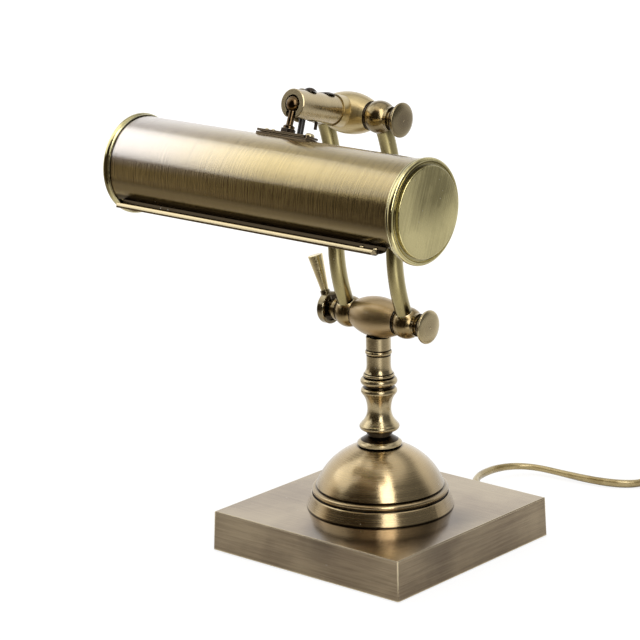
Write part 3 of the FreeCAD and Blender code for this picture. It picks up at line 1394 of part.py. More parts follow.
def make_switch():
    """In-line switch: lower half, upper half with a well, and a rocker on its pivot."""
    shells = []
    for name, low, high in (("switch_lower", 0, switch_split),
                            ("switch_upper", switch_split + seat, switch_high)):
        shell = body(name + "_body")
        drawing = drawing_on(shell, "XY_Plane", low)
        round_box(drawing, switch_long / 2, switch_wide / 2, switch_corner)
        padded(shell, drawing, high - low)
        place_on_switch(shell, 0, 0, 0)
        shells.append(shell)
    well = primitive("Box", "switch_well", Length=rocker_long + 1.4, Width=rocker_wide + 0.8,
                     Height=switch_high)
    place_on_switch(well, -(rocker_long + 1.4) / 2, -(rocker_wide + 0.8) / 2, switch_split + 1.2)
    pivot_hole = rod("switch_pivot_hole", pivot_r + fit, rocker_wide + 5 + seat * 2)
    place_on_switch(pivot_hole, 0, -(rocker_wide + 5) / 2 - seat, rocker_z, (-1, 0, 0), 90)
    keep("switch_lower", shells[0])
    keep("switch_upper", cut_from("switch_upper", shells[1], well, pivot_hole))
    rocker = body("switch_rocker_body")
    drawing = drawing_on(rocker, "XZ_Plane")
    half = rocker_long / 2
    outline(drawing, [(-half, 2.6), (2.5 - half, 0), (2.0, -1.6), (half, 0.9), (half, 2.4),
                      arc(rocker_long * 1.6, -1), (-half, 5.2)])
    padded(rocker, drawing, rocker_wide, symmetric=True)
    place_on_switch(rocker, 0, 0, rocker_z)
    pivot = rod("switch_pivot", pivot_r, rocker_wide + 5)
    place_on_switch(pivot, 0, -(rocker_wide + 5) / 2, rocker_z, (-1, 0, 0), 90)
    return keep("switch_rocker", joined("switch_rocker", rocker, pivot))


# ---------------------------------------------------------------- build

make_base_cover()
make_base_weight()
make_bottom_plate()
make_plate_screws()
make_felt_pad()
make_threaded_tube()
make_stem_washer()
make_stem_nut()
make_dome()
make_stem_collar()
make_baluster()
make_ferrule()
make_lower_barrel()
make_washers("lower_washers", lower)
make_axle("lower_axle", lower, knob_start + hub_thick - 2.4, axle_reach)
keep("lower_knob", make_knob("lower_knob", lower, 1))
for side_name, side in (("right", 1), ("left", -1)):
    make_ball(f"lower_ball_{side_name}", lower, side, 1)
    make_ball(f"upper_ball_{side_name}", upper, side, -1)
    make_arm(f"arm_{side_name}", side)
make_lever_hub()
make_lever_handle()
make_axle("upper_axle", upper, axle_reach, axle_reach)
keep("upper_knobs", group("upper_knobs", [make_knob("upper_knob_right", upper, 1),
                                          make_knob("upper_knob_left", upper, -1)]))
make_washers("upper_washers", upper)
make_upper_barrel()
make_bar()
make_bar_screws()
make_grub_screw()
make_ball_seat()
make_ball_stud()
make_stud_nuts()
make_bracket_saddle()
make_bracket_plate()
make_bracket_screw()
make_shade_tube()
make_front_lip()
make_lip_rivets()
make_cap("cap_right", 1)
make_cap("cap_left", -1)
make_lampholder_bracket()
make_lampholder()
make_bulb()
make_shade_lead()
make_lamp_lead()
make_base_lead()
make_cord_bush()
make_cord_lead()
make_switch()
make_coil([make_cord_tail(), make_cord_end()])
make_plug()

doc.recompute()
faults = [f"{o.Name} {o.State}" for o in doc.Objects if {"Invalid", "Error"} & set(o.State)]
for piece in finished:
    shape = piece.Shape
    if shape.isNull() or not shape.isValid() or not shape.Solids:
        faults.append(f"{piece.Label}: no valid solid")
    if piece.Label[-3:].isdigit():
        faults.append(f"{piece.Label}: label used twice")
if faults:
    raise SystemExit("\n".join(faults))
for piece in finished:
    piece.Shape.exportStep(f"parts/{piece.Label}.step")
print(len(finished), "pieces written")
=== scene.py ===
"""A piano lamp in antique brushed brass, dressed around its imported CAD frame."""

import logging
import math
from collections.abc import Callable
from dataclasses import dataclass, field
from enum import Enum

import bmesh
import bpy
from mathutils import Matrix, Vector


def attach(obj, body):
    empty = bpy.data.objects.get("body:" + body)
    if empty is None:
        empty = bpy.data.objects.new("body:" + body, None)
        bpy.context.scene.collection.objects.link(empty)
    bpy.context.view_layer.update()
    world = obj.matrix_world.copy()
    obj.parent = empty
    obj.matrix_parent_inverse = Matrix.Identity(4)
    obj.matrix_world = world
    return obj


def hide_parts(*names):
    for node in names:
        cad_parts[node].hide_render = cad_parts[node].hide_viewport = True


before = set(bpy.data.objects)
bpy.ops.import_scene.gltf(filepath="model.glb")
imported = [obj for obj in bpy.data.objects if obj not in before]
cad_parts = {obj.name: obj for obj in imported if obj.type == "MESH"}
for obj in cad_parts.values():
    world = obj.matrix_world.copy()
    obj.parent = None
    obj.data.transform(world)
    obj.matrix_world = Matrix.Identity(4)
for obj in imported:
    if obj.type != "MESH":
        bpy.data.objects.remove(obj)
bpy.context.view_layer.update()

LOG = logging.getLogger("piano_lamp")
MM = 0.001
Colour = tuple[float, float, float]
Point = tuple[float, float, float]
Outline = list[tuple[float, float]]
Span = tuple[float, float]
Ramp = tuple[float, float, float, float]

ORIGIN = Vector()
SHADE_AXIS = Vector((0, -93.84, 251.432)) * MM
LOWER_AXIS = Vector((0, 0, 150.5)) * MM
UPPER_AXIS = Vector((0, -24.2, 284.6)) * MM
X_AXIS, Z_AXIS = (1, 0, 0), (0, 0, 1)
BAR_AXIS = (0, -0.9668, 0.2554)

WHITE = (1.0, 1.0, 1.0)
DUST = (0.8, 0.78, 0.72)
# Dark brown for patina in grooves, and for painted shade and painted dark reflections.
PATINA_AND_SHADE_DARK = (0.035, 0.024, 0.014)
GROOVE_EDGE, GROOVE_WALL, NECK_EDGE = 0.0004, 0.0005, 0.0006
LEVEL_FROM, LEVEL_TO = 0.5, 0.9


# ---------------------------------------------------------------- shader boards and effects

class Value:
    """A number, vector or colour in a node tree; arithmetic on it adds nodes."""

    def __init__(self, board: "Board", socket: bpy.types.NodeSocket) -> None:
        """Keeps the output socket and its board."""
        self.board, self.socket = board, socket

    def __add__(self, other: "Given") -> "Value":
        """The sum of both."""
        return self.board.maths("ADD", self, other)

    def __sub__(self, other: "Given") -> "Value":
        """This less the other."""
        return self.board.maths("SUBTRACT", self, other)

    def __rsub__(self, other: "Given") -> "Value":
        """The other less this."""
        return self.board.maths("SUBTRACT", other, self)

    def __mul__(self, other: "Given") -> "Value":
        """The product of both."""
        return self.board.maths("MULTIPLY", self, other)

    def most(self, other: "Given") -> "Value":
        """The larger of both."""
        return self.board.maths("MAXIMUM", self, other)

    def unsigned(self) -> "Value":
        """The number without its sign."""
        return self.board.maths("ABSOLUTE", self)

    def clamped(self) -> "Value":
        """The same sum or product, kept from 0 to 1."""
        self.socket.node.use_clamp = True
        return self

    def beside(self, name: str) -> "Value":
        """Another output of the same node."""
        return Value(self.board, self.socket.node.outputs[name])


Given = Value | float | Colour | Vector


class Board:
    """A node tree with short calls that add nodes and join them."""

    def __init__(self, tree: bpy.types.NodeTree) -> None:
        """Works on the given tree."""
        self.tree = tree

    def feed(self, value: Given, socket: bpy.types.NodeSocket) -> None:
        """Links a value to a socket, or writes a number or colour on it.

        Args:
            value: What the socket gets.
            socket: An input socket of this tree.
        """
        if isinstance(value, Value):
            self.tree.links.new(value.socket, socket)
        elif isinstance(value, tuple) and len(value) < len(socket.default_value):
            socket.default_value = (*value, 1.0)
        else:
            socket.default_value = value

    def run(self, kind: str, *feeds: Given, out: int | str = 0,
            fed: dict[int | str, Given] | None = None, **settings: object) -> Value:
        """Adds a node and feeds its inputs.

        Args:
            kind: The node's type, without its leading "ShaderNode".
            *feeds: What its first inputs get, in order.
            out: The output that is wanted.
            fed: What other inputs get, by name or number.
            **settings: Properties that are set on it.

        Returns:
            The wanted output.
        """
        made = self.tree.nodes.new("ShaderNode" + kind)
        for name, value in settings.items():
            setattr(made, name, value)
        for key, value in (dict(enumerate(feeds)) | (fed or {})).items():
            self.feed(value, made.inputs[key])
        return Value(self, made.outputs[out])

    def maths(self, operation: str, *numbers: Given) -> Value:
        """The result of one arithmetic node."""
        return self.run("Math", *numbers, operation=operation)

    def split(self, vector: Value) -> tuple[Value, Value, Value]:
        """The vector's X, Y and Z."""
        x = self.run("SeparateXYZ", vector)
        return x, x.beside("Y"), x.beside("Z")

    def ramp(self, value: Given, low: Given, high: Given, start: float = 0.0,
             stop: float = 1.0) -> Value:
        """A smooth step from start to stop as the value goes from low to high."""
        return self.run("MapRange", value, low, high, start, stop,
                        interpolation_type="SMOOTHSTEP")

    def fade(self, value: Given, near: float, far: float, depth: float = 1.0) -> Value:
        """The full depth up to near, and nothing from far on."""
        return self.ramp(value, near, far, depth, 0.0)

    def mix(self, share: Given, first: Given, second: Given) -> Value:
        """A colour between two others, the second at a share of 1."""
        return self.run("Mix", share, out=2, fed={6: first, 7: second}, data_type="RGBA")

    def noise(self, place: Value, scale: Given, detail: float, rough: float,
              warp: float = 0.0) -> Value:
        """A cloud noise from 0 to 1."""
        return self.run("TexNoise", place, fed={
            "Scale": scale, "Detail": detail, "Roughness": rough, "Distortion": warp})

    def turned(self, place: Value, turn: Matrix, centre: Vector = ORIGIN) -> Value:
        """Coordinates with their origin at a centre, then turned."""
        return self.run("Mapping", place, -(turn @ centre), turn.to_euler())

    def stretched(self, place: Value, scale: Point) -> Value:
        """Coordinates times a scale along each axis."""
        return self.run("Mapping", place, fed={"Scale": scale})

    def away(self, place: Value, centre: Vector, along_x: bool = False) -> Value:
        """How far a place lies from a centre.

        Args:
            place: The coordinates.
            centre: A point, in metres.
            along_x: Whether the distance is from the line along X through the centre.

        Returns:
            The distance.
        """
        if along_x:
            place = self.run("VectorMath", place, (0, 1, 1), operation="MULTIPLY")
            centre = Vector((0, centre.y, centre.z))
        return self.run("VectorMath", place, centre, out="Value", operation="DISTANCE")

    def bumped(self, height: Value, strength: float, depth: float) -> Value:
        """A normal from a height pattern."""
        return self.run("Bump", fed={"Strength": strength, "Distance": depth, "Height": height})

    def show(self, mirrored: Given, real: Value, seen: Value, output: str) -> None:
        """Ends the tree with one shader that lights the lamp and one that is looked at.

        Args:
            mirrored: How much of the second shader shows in reflections.
            real: The shader that lights the lamp.
            seen: The shader for the camera, also through glass.
            output: The output node's type.
        """
        camera = self.run("LightPath", out="Is Camera Ray")
        shown = camera.beside("Is Glossy Ray") * mirrored
        shown = shown.most(camera.beside("Is Transmission Ray")).most(camera)
        ending = self.tree.nodes.new(output)
        self.feed(self.run("MixShader", shown, real, seen), ending.inputs[0])


def brushing(board: Board, place: Value) -> Value:
    """Fine scratches along the coordinates' slow direction."""
    both = board.noise(place, 1.0, 4.0, 0.62) * 0.62 + board.noise(place, 3.3, 2.0, 0.5) * 0.38
    return board.ramp(both, 0.33, 0.67)


def lathe_marks(board: Board, place: Value) -> Value:
    """Coordinates for marks of turning: radius, height, and a slow drift.

    Args:
        board: The group's board.
        place: Coordinates round the Z axis.

    Returns:
        Coordinates that hardly change round the axis.
    """
    x, y, z = board.split(place)
    radius = board.maths("SQRT", x * x + y * y)
    return board.run("CombineXYZ", radius, z, (x + y) * 0.02)


def patina(board: Board, place: Value, scale: Value) -> Value:
    """Broad clouds of darker and lighter lacquer."""
    return board.ramp(board.noise(place, scale, 5.0, 0.6, warp=0.35), 0.32, 0.68)


def edge_wear_and_glint(board: Board, radius: Value) -> Value:
    """Edges painted bright, both as rubbed wear and as a painted highlight on rounded edges, from
    how far the rounded normal turns away.

    Args:
        board: The group's board.
        radius: How wide the worn, highlighted edge is, in metres.

    Returns:
        1 on a worn edge with its painted highlight, 0 on flat metal.
    """
    rounded = board.run("Bevel", radius, samples=8)
    flat = board.run("NewGeometry", out="Normal")
    dot = board.run("VectorMath", rounded, flat, out="Value", operation="DOT_PRODUCT")
    return board.ramp(1.0 - dot, 0.008, 0.11)


def recess(board: Board, reach: Value, opened: Value) -> Value:
    """Dark patina in grooves, and painted shade in corners and between parts, from ambient
    occlusion.

    Args:
        board: The group's board.
        reach: How far off a wall still shuts a place in, in metres.
        opened: The openness above which a place stays clean.

    Returns:
        1 deep in a groove, 0 in the open.
    """
    clear = board.run("AmbientOcclusion", out="AO", fed={"Distance": reach}, samples=8)
    return board.ramp(clear, opened, opened - 0.4)


def dust_specks(board: Board, place: Value) -> Value:
    """A few pale specks of dust.

    Args:
        board: The group's board.
        place: The coordinates.

    Returns:
        1 in a speck, 0 elsewhere.
    """
    cells = board.run("TexVoronoi", place, out="Color", fed={"Scale": 320.0})
    rare = board.maths("GREATER_THAN", board.run("SeparateColor", cells), 0.978)
    return rare * board.ramp(cells.beside("Distance"), 0.16, 0.07)


@dataclass
class Effects:
    """Shader groups that several finishes share, each built once."""

    made: dict[str, bpy.types.NodeTree] = field(default_factory=dict)

    def build(self) -> None:
        """Builds every group."""
        self.group(brushing, "Streak", "Vector")
        self.group(lathe_marks, "Vector", "Vector")
        self.group(patina, "Cloud", "Vector", "Scale")
        self.group(edge_wear_and_glint, "Worn", "Radius")
        self.group(recess, "Dark", "Reach", "Open")
        self.group(dust_specks, "Speck", "Vector")
        LOG.info("effects: %s", ", ".join(self.made))

    def group(self, work: Callable[..., Value], output: str, *inputs: str) -> None:
        """Builds one group under the name of the function that fills it.

        Args:
            work: Takes the board and the inputs, and gives the output.
            output: The output socket's name.
            *inputs: The input sockets' names. A socket named Vector holds one.
        """
        tree = bpy.data.node_groups.new(work.__name__, "ShaderNodeTree")
        for name, way in [(name, "INPUT") for name in inputs] + [(output, "OUTPUT")]:
            kind = "NodeSocketVector" if name == "Vector" else "NodeSocketFloat"
            tree.interface.new_socket(name, in_out=way, socket_type=kind)
        board = Board(tree)
        entry = tree.nodes.new("NodeGroupInput")
        result = work(board, *(Value(board, entry.outputs[name]) for name in inputs))
        board.feed(result, tree.nodes.new("NodeGroupOutput").inputs[0])
        self.made[work.__name__] = tree

    def use(self, board: Board, name: str, *values: Given) -> Value:
        """Places a group in a board and feeds its inputs in order."""
        return board.run("Group", node_tree=self.made[name], fed=dict(enumerate(values)))


EFFECTS = Effects()


# ---------------------------------------------------------------- finishes

class Grain(Enum):
    """How a brushed surface was worked: how often its marks change along X, Y and Z."""

    ALONG_X = (9.0, 620.0, 620.0)
    ROUND_X = (1000.0, 16.0, 16.0)
    LEVEL = (15.0, 15.0, 480.0)
    UPRIGHT = (300.0, 900.0, 12.0)
    FINE = (210.0, 210.0, 210.0)


@dataclass(frozen=True)
class Spot:
    """A round patch that fades out, or a band of that width along X. Radii in metres."""

    at: Vector
    inner: float
    outer: float
    depth: float = 1.0
    along_x: bool = False

    def mask(self, board: Board, place: Value) -> Value:
        """The depth inside the inner radius, and nothing past the outer."""
        return board.fade(board.away(place, self.at, self.along_x), self.inner, self.outer,
                          self.depth)


@dataclass(frozen=True)
class Groove:
    """A turned band painted dark, by its height, floor radius and half width: in a groove, and as
    painted shade under a bead.
    """

    height: float
    floor: float
    half: float

    def mask(self, board: Board, radius: Value, along: Value) -> Value:
        """1 in the groove, and nothing on the metal beside it."""
        near = board.fade((along - self.height).unsigned(), self.half, self.half + GROOVE_EDGE)
        return near * board.fade(radius, self.floor, self.floor + GROOVE_WALL)


@dataclass(frozen=True)
class Finish:
    """A named surface. Each kind says what feeds the shader's sockets."""

    name: str

    def sockets(self, board: Board, place: Value) -> dict[str, Given]:
        """What feeds the shader, by socket name."""
        raise NotImplementedError

    def make(self) -> bpy.types.Material:
        """Builds the material.

        Returns:
            The new material.
        """
        made = bpy.data.materials.new(self.name)
        made.use_nodes = True
        board = Board(made.node_tree)
        shader = next(n for n in made.node_tree.nodes if n.type == "BSDF_PRINCIPLED")
        place = board.run("TexCoord", out="Object")
        for socket, value in self.sockets(board, place).items():
            board.feed(value, shader.inputs[socket])
        return made


def darker(colour: Colour, share: float) -> Colour:
    """The colour at a share of its brightness."""
    return tuple(share * part for part in colour)


@dataclass(frozen=True)
class BrushedBrass(Finish):
    """Lacquered antique brass: gold over brown, brushed or turned, with worn edges painted bright
    as their highlight too.

    The gold's share of the surface is base, moved by streak and cloud. A second grain is that
    of a level top, and side dims the upright sides below it as painted shade. The shade and pit
    spots are browner, the dark reflections are painted, and the shade lines and grooves are dark.
    A knob's shank is painted in shade as far out as its neck, and a cap shines more outside its
    rim. Distances are in metres.
    """

    gold: Colour = (0.64, 0.53, 0.30)
    brown: Colour = (0.36, 0.275, 0.15)
    # Edge colour, painted for worn edges and their highlight.
    bright: Colour = (0.86, 0.76, 0.50)
    grain: Grain | None = None
    slant: float = 0.0
    second: Grain | None = None
    second_streak: float = 0.4
    # Below 1, the upright sides are painted in shade.
    side: float = 1.0
    lathe: tuple[Vector, Point] | None = None
    lathe_scale: Point = (900.0, 900.0, 30.0)
    rough: float = 0.27
    swing: float = 0.05
    base: float = 0.62
    streak: float = 0.30
    cloud: float = 0.28
    cloud_scale: float = 17.0
    # Worn edges painted bright, standing in for their highlight too.
    wear_and_glint: float = 0.7
    wear_and_glint_radius: float = 0.0006
    # Dark patina in grooves and painted shade in corners, from ambient occlusion.
    recess: float = 0.85
    recess_reach: float = 0.004
    recess_open: float = 0.76
    # Browner spots: painted shade, and a turning mark's dark pit.
    shade_and_pit_spots: tuple[Spot, ...] = ()
    # Painted dark reflections.
    dark_reflections: tuple[Spot, ...] = ()
    # Painted shade along lines on X.
    shade_lines: tuple[Spot, ...] = ()
    grooves: tuple[Groove, ...] = ()
    # A knob's shank is painted in shade out to this distance.
    neck: float = 0.0
    rim: float = 0.0
    rim_rough: float = 0.55
    bump: float = 0.05
    bump_depth: float = 0.0004
    dust: float = 0.5
    dust_rough: float = 0.3
    coat: float = 0.6
    coat_ior: float = 1.5
    coat_rough: float = 0.15
    anisotropy: float = 0.0
    tangent: str = "X"

    def streaks(self, board: Board, place: Value, marks: Value, top: Value | None) -> Value:
        """The brushing, along the lathe's marks or the grain.

        Args:
            board: The material's board.
            place: The coordinates.
            marks: The coordinates for marks of turning.
            top: 1 where the surface is level, for a second grain.

        Returns:
            The streaks, from 0 to 1.
        """
        if self.grain is None:
            return EFFECTS.use(board, "brushing", board.stretched(marks, self.lathe_scale))
        slanted = board.turned(place, Matrix.Rotation(math.radians(self.slant), 3, "X"))
        streak = EFFECTS.use(board, "brushing", board.stretched(slanted, self.grain.value))
        if top is None:
            return streak
        level = EFFECTS.use(board, "brushing", board.stretched(place, self.second.value))
        level = level * self.second_streak + (1.0 - self.second_streak) / 2
        return streak * (1.0 - top) + level * top

    def tone(self, board: Board, place: Value, streak: Value, top: Value | None) -> Value:
        """The colour of the metal under its lacquer, with painted shade on spots and upright
        sides, dark pits, and painted dark reflections.

        Args:
            board: The material's board.
            place: The coordinates.
            streak: The brushing.
            top: 1 where the surface is level, for a second grain.

        Returns:
            The colour.
        """
        cloud = EFFECTS.use(board, "patina", place, self.cloud_scale)
        level = self.base - self.streak / 2 - self.cloud / 2
        share = (streak * self.streak + cloud * self.cloud + level).clamped()
        # Browner spots: painted shade, and the dark pit of a turning mark.
        for shading in self.shade_and_pit_spots:
            share = (share - shading.mask(board, place)).clamped()
        colour = board.mix(share, self.brown, self.gold)
        # Painted shade: the upright sides darker than a level top.
        if top is not None:
            sides = board.mix(share, darker(self.brown, self.side), darker(self.gold, self.side))
            colour = board.mix(top, sides, colour)
        # Painted dark reflections.
        for dark_reflection in self.dark_reflections:
            colour = board.mix(dark_reflection.mask(board, place), colour, PATINA_AND_SHADE_DARK)
        return colour

    def patina_and_shade(self, board: Board, place: Value, marks: Value) -> Value:
        """Dark patina and painted shade in corners, painted shade along lines and on a knob's
        shank, and dark turned grooves.

        Args:
            board: The material's board.
            place: The coordinates.
            marks: The coordinates for marks of turning.

        Returns:
            1 where the dark patina and the painted shade hide the metal.
        """
        dark = EFFECTS.use(board, "recess", self.recess_reach, self.recess_open)
        # Painted shade along lines on X.
        for shade_line in self.shade_lines:
            dark = dark.most(shade_line.mask(board, place))
        if self.lathe:
            radius, along, _ = board.split(marks)
            for groove in self.grooves:
                dark = dark.most(groove.mask(board, radius, along))
            # Painted shade on a knob's shank, out to its neck.
            if self.neck:
                dark = dark.most(board.fade(along.unsigned(), self.neck - NECK_EDGE, self.neck))
        return dark

    def sockets(self, board: Board, place: Value) -> dict[str, Given]:
        """Lays brushing, dark patina with painted shade, worn edges painted bright as wear and
        highlight, and dust over each other.

        Args:
            board: The material's board.
            place: The coordinates.

        Returns:
            What feeds the shader, by socket name.
        """
        marks, top = place, None
        if self.lathe:
            centre, axis = self.lathe
            turn = Vector(axis).rotation_difference(Vector(Z_AXIS)).to_matrix()
            marks = EFFECTS.use(board, "lathe_marks", board.turned(place, turn, centre))
        if self.second:
            normal = board.run("NewGeometry", out="Normal")
            top = board.ramp(board.split(normal)[2], LEVEL_FROM, LEVEL_TO)
        streak = self.streaks(board, place, marks, top)
        dark = self.patina_and_shade(board, place, marks)
        speck = EFFECTS.use(board, "dust_specks", place)
        colour = self.tone(board, place, streak, top)
        # Dark patina in grooves and painted shade in corners.
        colour = board.mix(dark * self.recess, colour, PATINA_AND_SHADE_DARK)
        # Worn edges painted bright, as wear and as their highlight.
        worn_and_glint = EFFECTS.use(board, "edge_wear_and_glint", self.wear_and_glint_radius) * self.wear_and_glint
        colour = board.mix((worn_and_glint * (1.0 - dark)).clamped(), colour, self.bright)
        rough = streak * (self.swing * 2) + (self.rough - self.swing)
        rough = (rough + speck * self.dust_rough).clamped()
        if self.rim:
            rough = rough * board.ramp(board.split(marks)[0], self.rim, self.rim + GROOVE_EDGE,
                                       1.0, self.rim_rough)
        fed = {"Base Color": board.mix(speck * self.dust, colour, DUST), "Roughness": rough,
               "Metallic": 1.0, "Coat Weight": (1.0 - dark) * self.coat,
               "Coat Roughness": self.coat_rough, "Coat IOR": self.coat_ior,
               "Anisotropic": self.anisotropy,
               "Normal": board.bumped(streak, self.bump, self.bump_depth)}
        if self.anisotropy:
            fed["Anisotropic Rotation"] = 0.25
            fed["Tangent"] = board.run("Tangent", direction_type="RADIAL", axis=self.tangent)
        return fed


@dataclass(frozen=True)
class ShadeBrass(BrushedBrass):
    """The shade's brass, with a painted highlight on top towards the left end and painted shade
    towards the right.
    """

    # Painted highlight: a paler tint on top towards the left end.
    pale: Colour = (0.84, 0.83, 0.94)
    painted_highlight_share: float = 0.55
    painted_highlight_along: Span = (-0.115, 0.03)
    painted_highlight_above: Span = (0.2550, 0.2625)
    # Painted shade towards the right end.
    painted_shade_share: float = 0.31
    painted_shade_along: Span = (-0.06, 0.12)

    def tone(self, board: Board, place: Value, streak: Value, top: Value | None) -> Value:
        """The colour of the metal, with a painted highlight and painted shade along the shade.

        Args:
            board: The material's board.
            place: The coordinates.
            streak: The brushing.
            top: None, because the shade has one grain.

        Returns:
            The colour.
        """
        colour = super().tone(board, place, streak, top)
        along, _, height = board.split(place)
        # Painted highlight on top towards the left end.
        left = board.fade(along, *self.painted_highlight_along, self.painted_highlight_share)
        colour = board.mix(left * board.ramp(height, *self.painted_highlight_above), colour, self.pale)
        # Painted shade towards the right end.
        right = board.ramp(along, *self.painted_shade_along, 0.0, self.painted_shade_share)
        return board.mix(right, colour, PATINA_AND_SHADE_DARK)


@dataclass(frozen=True)
class PlainMetal(Finish):
    """Steel, bronze or plating with machining marks and some tarnish."""

    light: Colour
    shade: Colour
    rough: float = 0.32
    bump: float = 0.12
    scale: float = 260.0
    # Worn edges painted light, standing in for their highlight too.
    wear_and_glint: float = 0.5
    wear_and_glint_colour: Colour = (0.7, 0.62, 0.45)
    # Painted shade in corners.
    recess: float = 0.7

    def sockets(self, board: Board, place: Value) -> dict[str, Given]:
        """Lays tarnish, painted shade in corners and worn edges that are also painted highlights
        over the metal.

        Args:
            board: The material's board.
            place: The coordinates.

        Returns:
            What feeds the shader, by socket name.
        """
        cloud = EFFECTS.use(board, "patina", place, self.scale)
        streak = EFFECTS.use(board, "brushing", board.stretched(
            place, (self.scale * 3, self.scale, self.scale * 4)))
        colour = board.mix((cloud * 0.6 + streak * 0.4).clamped(), self.shade, self.light)
        # Painted shade in corners.
        dark = EFFECTS.use(board, "recess", 0.003, 0.8)
        colour = board.mix(dark * self.recess, colour, darker(self.shade, 0.12))
        # Worn edges painted light, as wear and as their highlight.
        worn_and_glint = EFFECTS.use(board, "edge_wear_and_glint", 0.0004)
        colour = board.mix(worn_and_glint * self.wear_and_glint, colour, self.wear_and_glint_colour)
        return {"Base Color": colour, "Roughness": cloud * 0.14 + (self.rough - 0.06),
                "Metallic": 1.0, "Normal": board.bumped(streak, self.bump, 0.0003)}


@dataclass(frozen=True)
class Plastic(Finish):
    """Moulded plastic or soft PVC with faint mottling, scuffs and a fine skin."""

    light: Colour
    shade: Colour
    rough: float = 0.36
    coat: float = 0.3
    metal: float = 0.0
    scale: float = 150.0
    bump: float = 0.10
    edge: Colour = (0.75, 0.66, 0.45)
    # Scuffed edges painted light, standing in for their highlight too.
    wear_and_glint: float = 0.25
    dust: Colour = (0.75, 0.73, 0.7)

    def sockets(self, board: Board, place: Value) -> dict[str, Given]:
        """Lays painted shade in corners, scuffed edges painted light as their highlight too, and
        dust over the mottled skin.

        Args:
            board: The material's board.
            place: The coordinates.

        Returns:
            What feeds the shader, by socket name.
        """
        cloud = EFFECTS.use(board, "patina", place, self.scale)
        dark = EFFECTS.use(board, "recess", 0.003, 0.8)
        worn_and_glint = EFFECTS.use(board, "edge_wear_and_glint", 0.0007)
        speck = EFFECTS.use(board, "dust_specks", place)
        colour = board.mix(cloud, self.shade, self.light)
        # Painted shade in corners.
        colour = board.mix(dark * 0.6, colour, darker(self.shade, 0.25))
        # Scuffed edges painted light, as wear and as their highlight.
        colour = board.mix(worn_and_glint * self.wear_and_glint, colour, self.edge)
        skin = board.noise(place, self.scale * 14, 2.0, 0.5)
        return {"Base Color": board.mix(speck * 0.4, colour, self.dust),
                "Roughness": cloud * 0.12 + (self.rough - 0.05), "Metallic": self.metal,
                "Coat Weight": self.coat, "Coat Roughness": 0.14,
                "Normal": board.bumped(skin, self.bump, 0.0002)}


@dataclass(frozen=True)
class Felt(Finish):
    """Pressed wool felt with loose fibres."""

    light: Colour = (0.075, 0.07, 0.062)
    shade: Colour = (0.022, 0.02, 0.018)

    def sockets(self, board: Board, place: Value) -> dict[str, Given]:
        """Tangles fine fibres with broader clumps.

        Args:
            board: The material's board.
            place: The coordinates.

        Returns:
            What feeds the shader, by socket name.
        """
        clumps = board.noise(board.stretched(place, (420, 300, 900)), 1.0, 3.0, 0.6)
        wool = board.noise(place, 2400.0, 4.0, 0.7) * 0.55 + clumps * 0.45
        return {"Base Color": board.mix(board.ramp(wool, 0.35, 0.65), self.shade, self.light),
                "Roughness": 0.95, "Sheen Weight": 0.5,
                "Normal": board.bumped(wool, 0.7, 0.0006)}


@dataclass(frozen=True)
class OpalGlass(Finish):
    """White-coated bulb glass."""

    light: Colour = (0.90, 0.90, 0.88)
    shade: Colour = (0.80, 0.79, 0.75)

    def sockets(self, board: Board, place: Value) -> dict[str, Given]:
        """Clouds the coating a little.

        Args:
            board: The material's board.
            place: The coordinates.

        Returns:
            What feeds the shader, by socket name.
        """
        cloud = EFFECTS.use(board, "patina", place, 60.0)
        return {"Base Color": board.mix(cloud, self.shade, self.light),
                "Roughness": board.ramp(cloud, 0.0, 1.0, 0.10, 0.16),
                "Coat Weight": 0.6, "Coat Roughness": 0.04,
                "Subsurface Weight": 0.35, "Subsurface Scale": 0.004}


def on_x_axis(axis: Vector, inner: float, outer: float, depth: float = 1.0) -> Spot:
    """A round patch on every face that is turned about a line along X."""
    return Spot(axis, inner, outer, depth, along_x=True)


def knob_brass(name: str, gold: Colour, brown: Colour, axis: Vector, shading: float
               ) -> BrushedBrass:
    """A knob's brass, browned by painted shade in the bowl of its face and on its shank, and dark
    in its turning mark.

    Args:
        name: The finish's name.
        gold: The lighter colour.
        brown: The darker colour.
        axis: A point on the knob's axis.
        shading: How brown the painted shade in the bowl is.

    Returns:
        The finish.
    """
    return BrushedBrass(
        name, gold, brown, lathe=(axis, X_AXIS), streak=0.08, base=0.8, bump=0.03,
        # The bowl's painted shade, and the turning mark's dark pit.
        shade_and_pit_spots=(on_x_axis(axis, 0.001, 0.010, shading), on_x_axis(axis, 0.00035, 0.0007, 0.9)),
        # Painted shade on the shank out to the neck.
        recess_reach=0.003, recess=0.96, wear_and_glint_radius=0.0003, neck=0.0393)


# Line of the painted shade in the lip's gutter and on the shade just above it.
LIP_LINE = Vector((0, -0.1193, 0.2326))
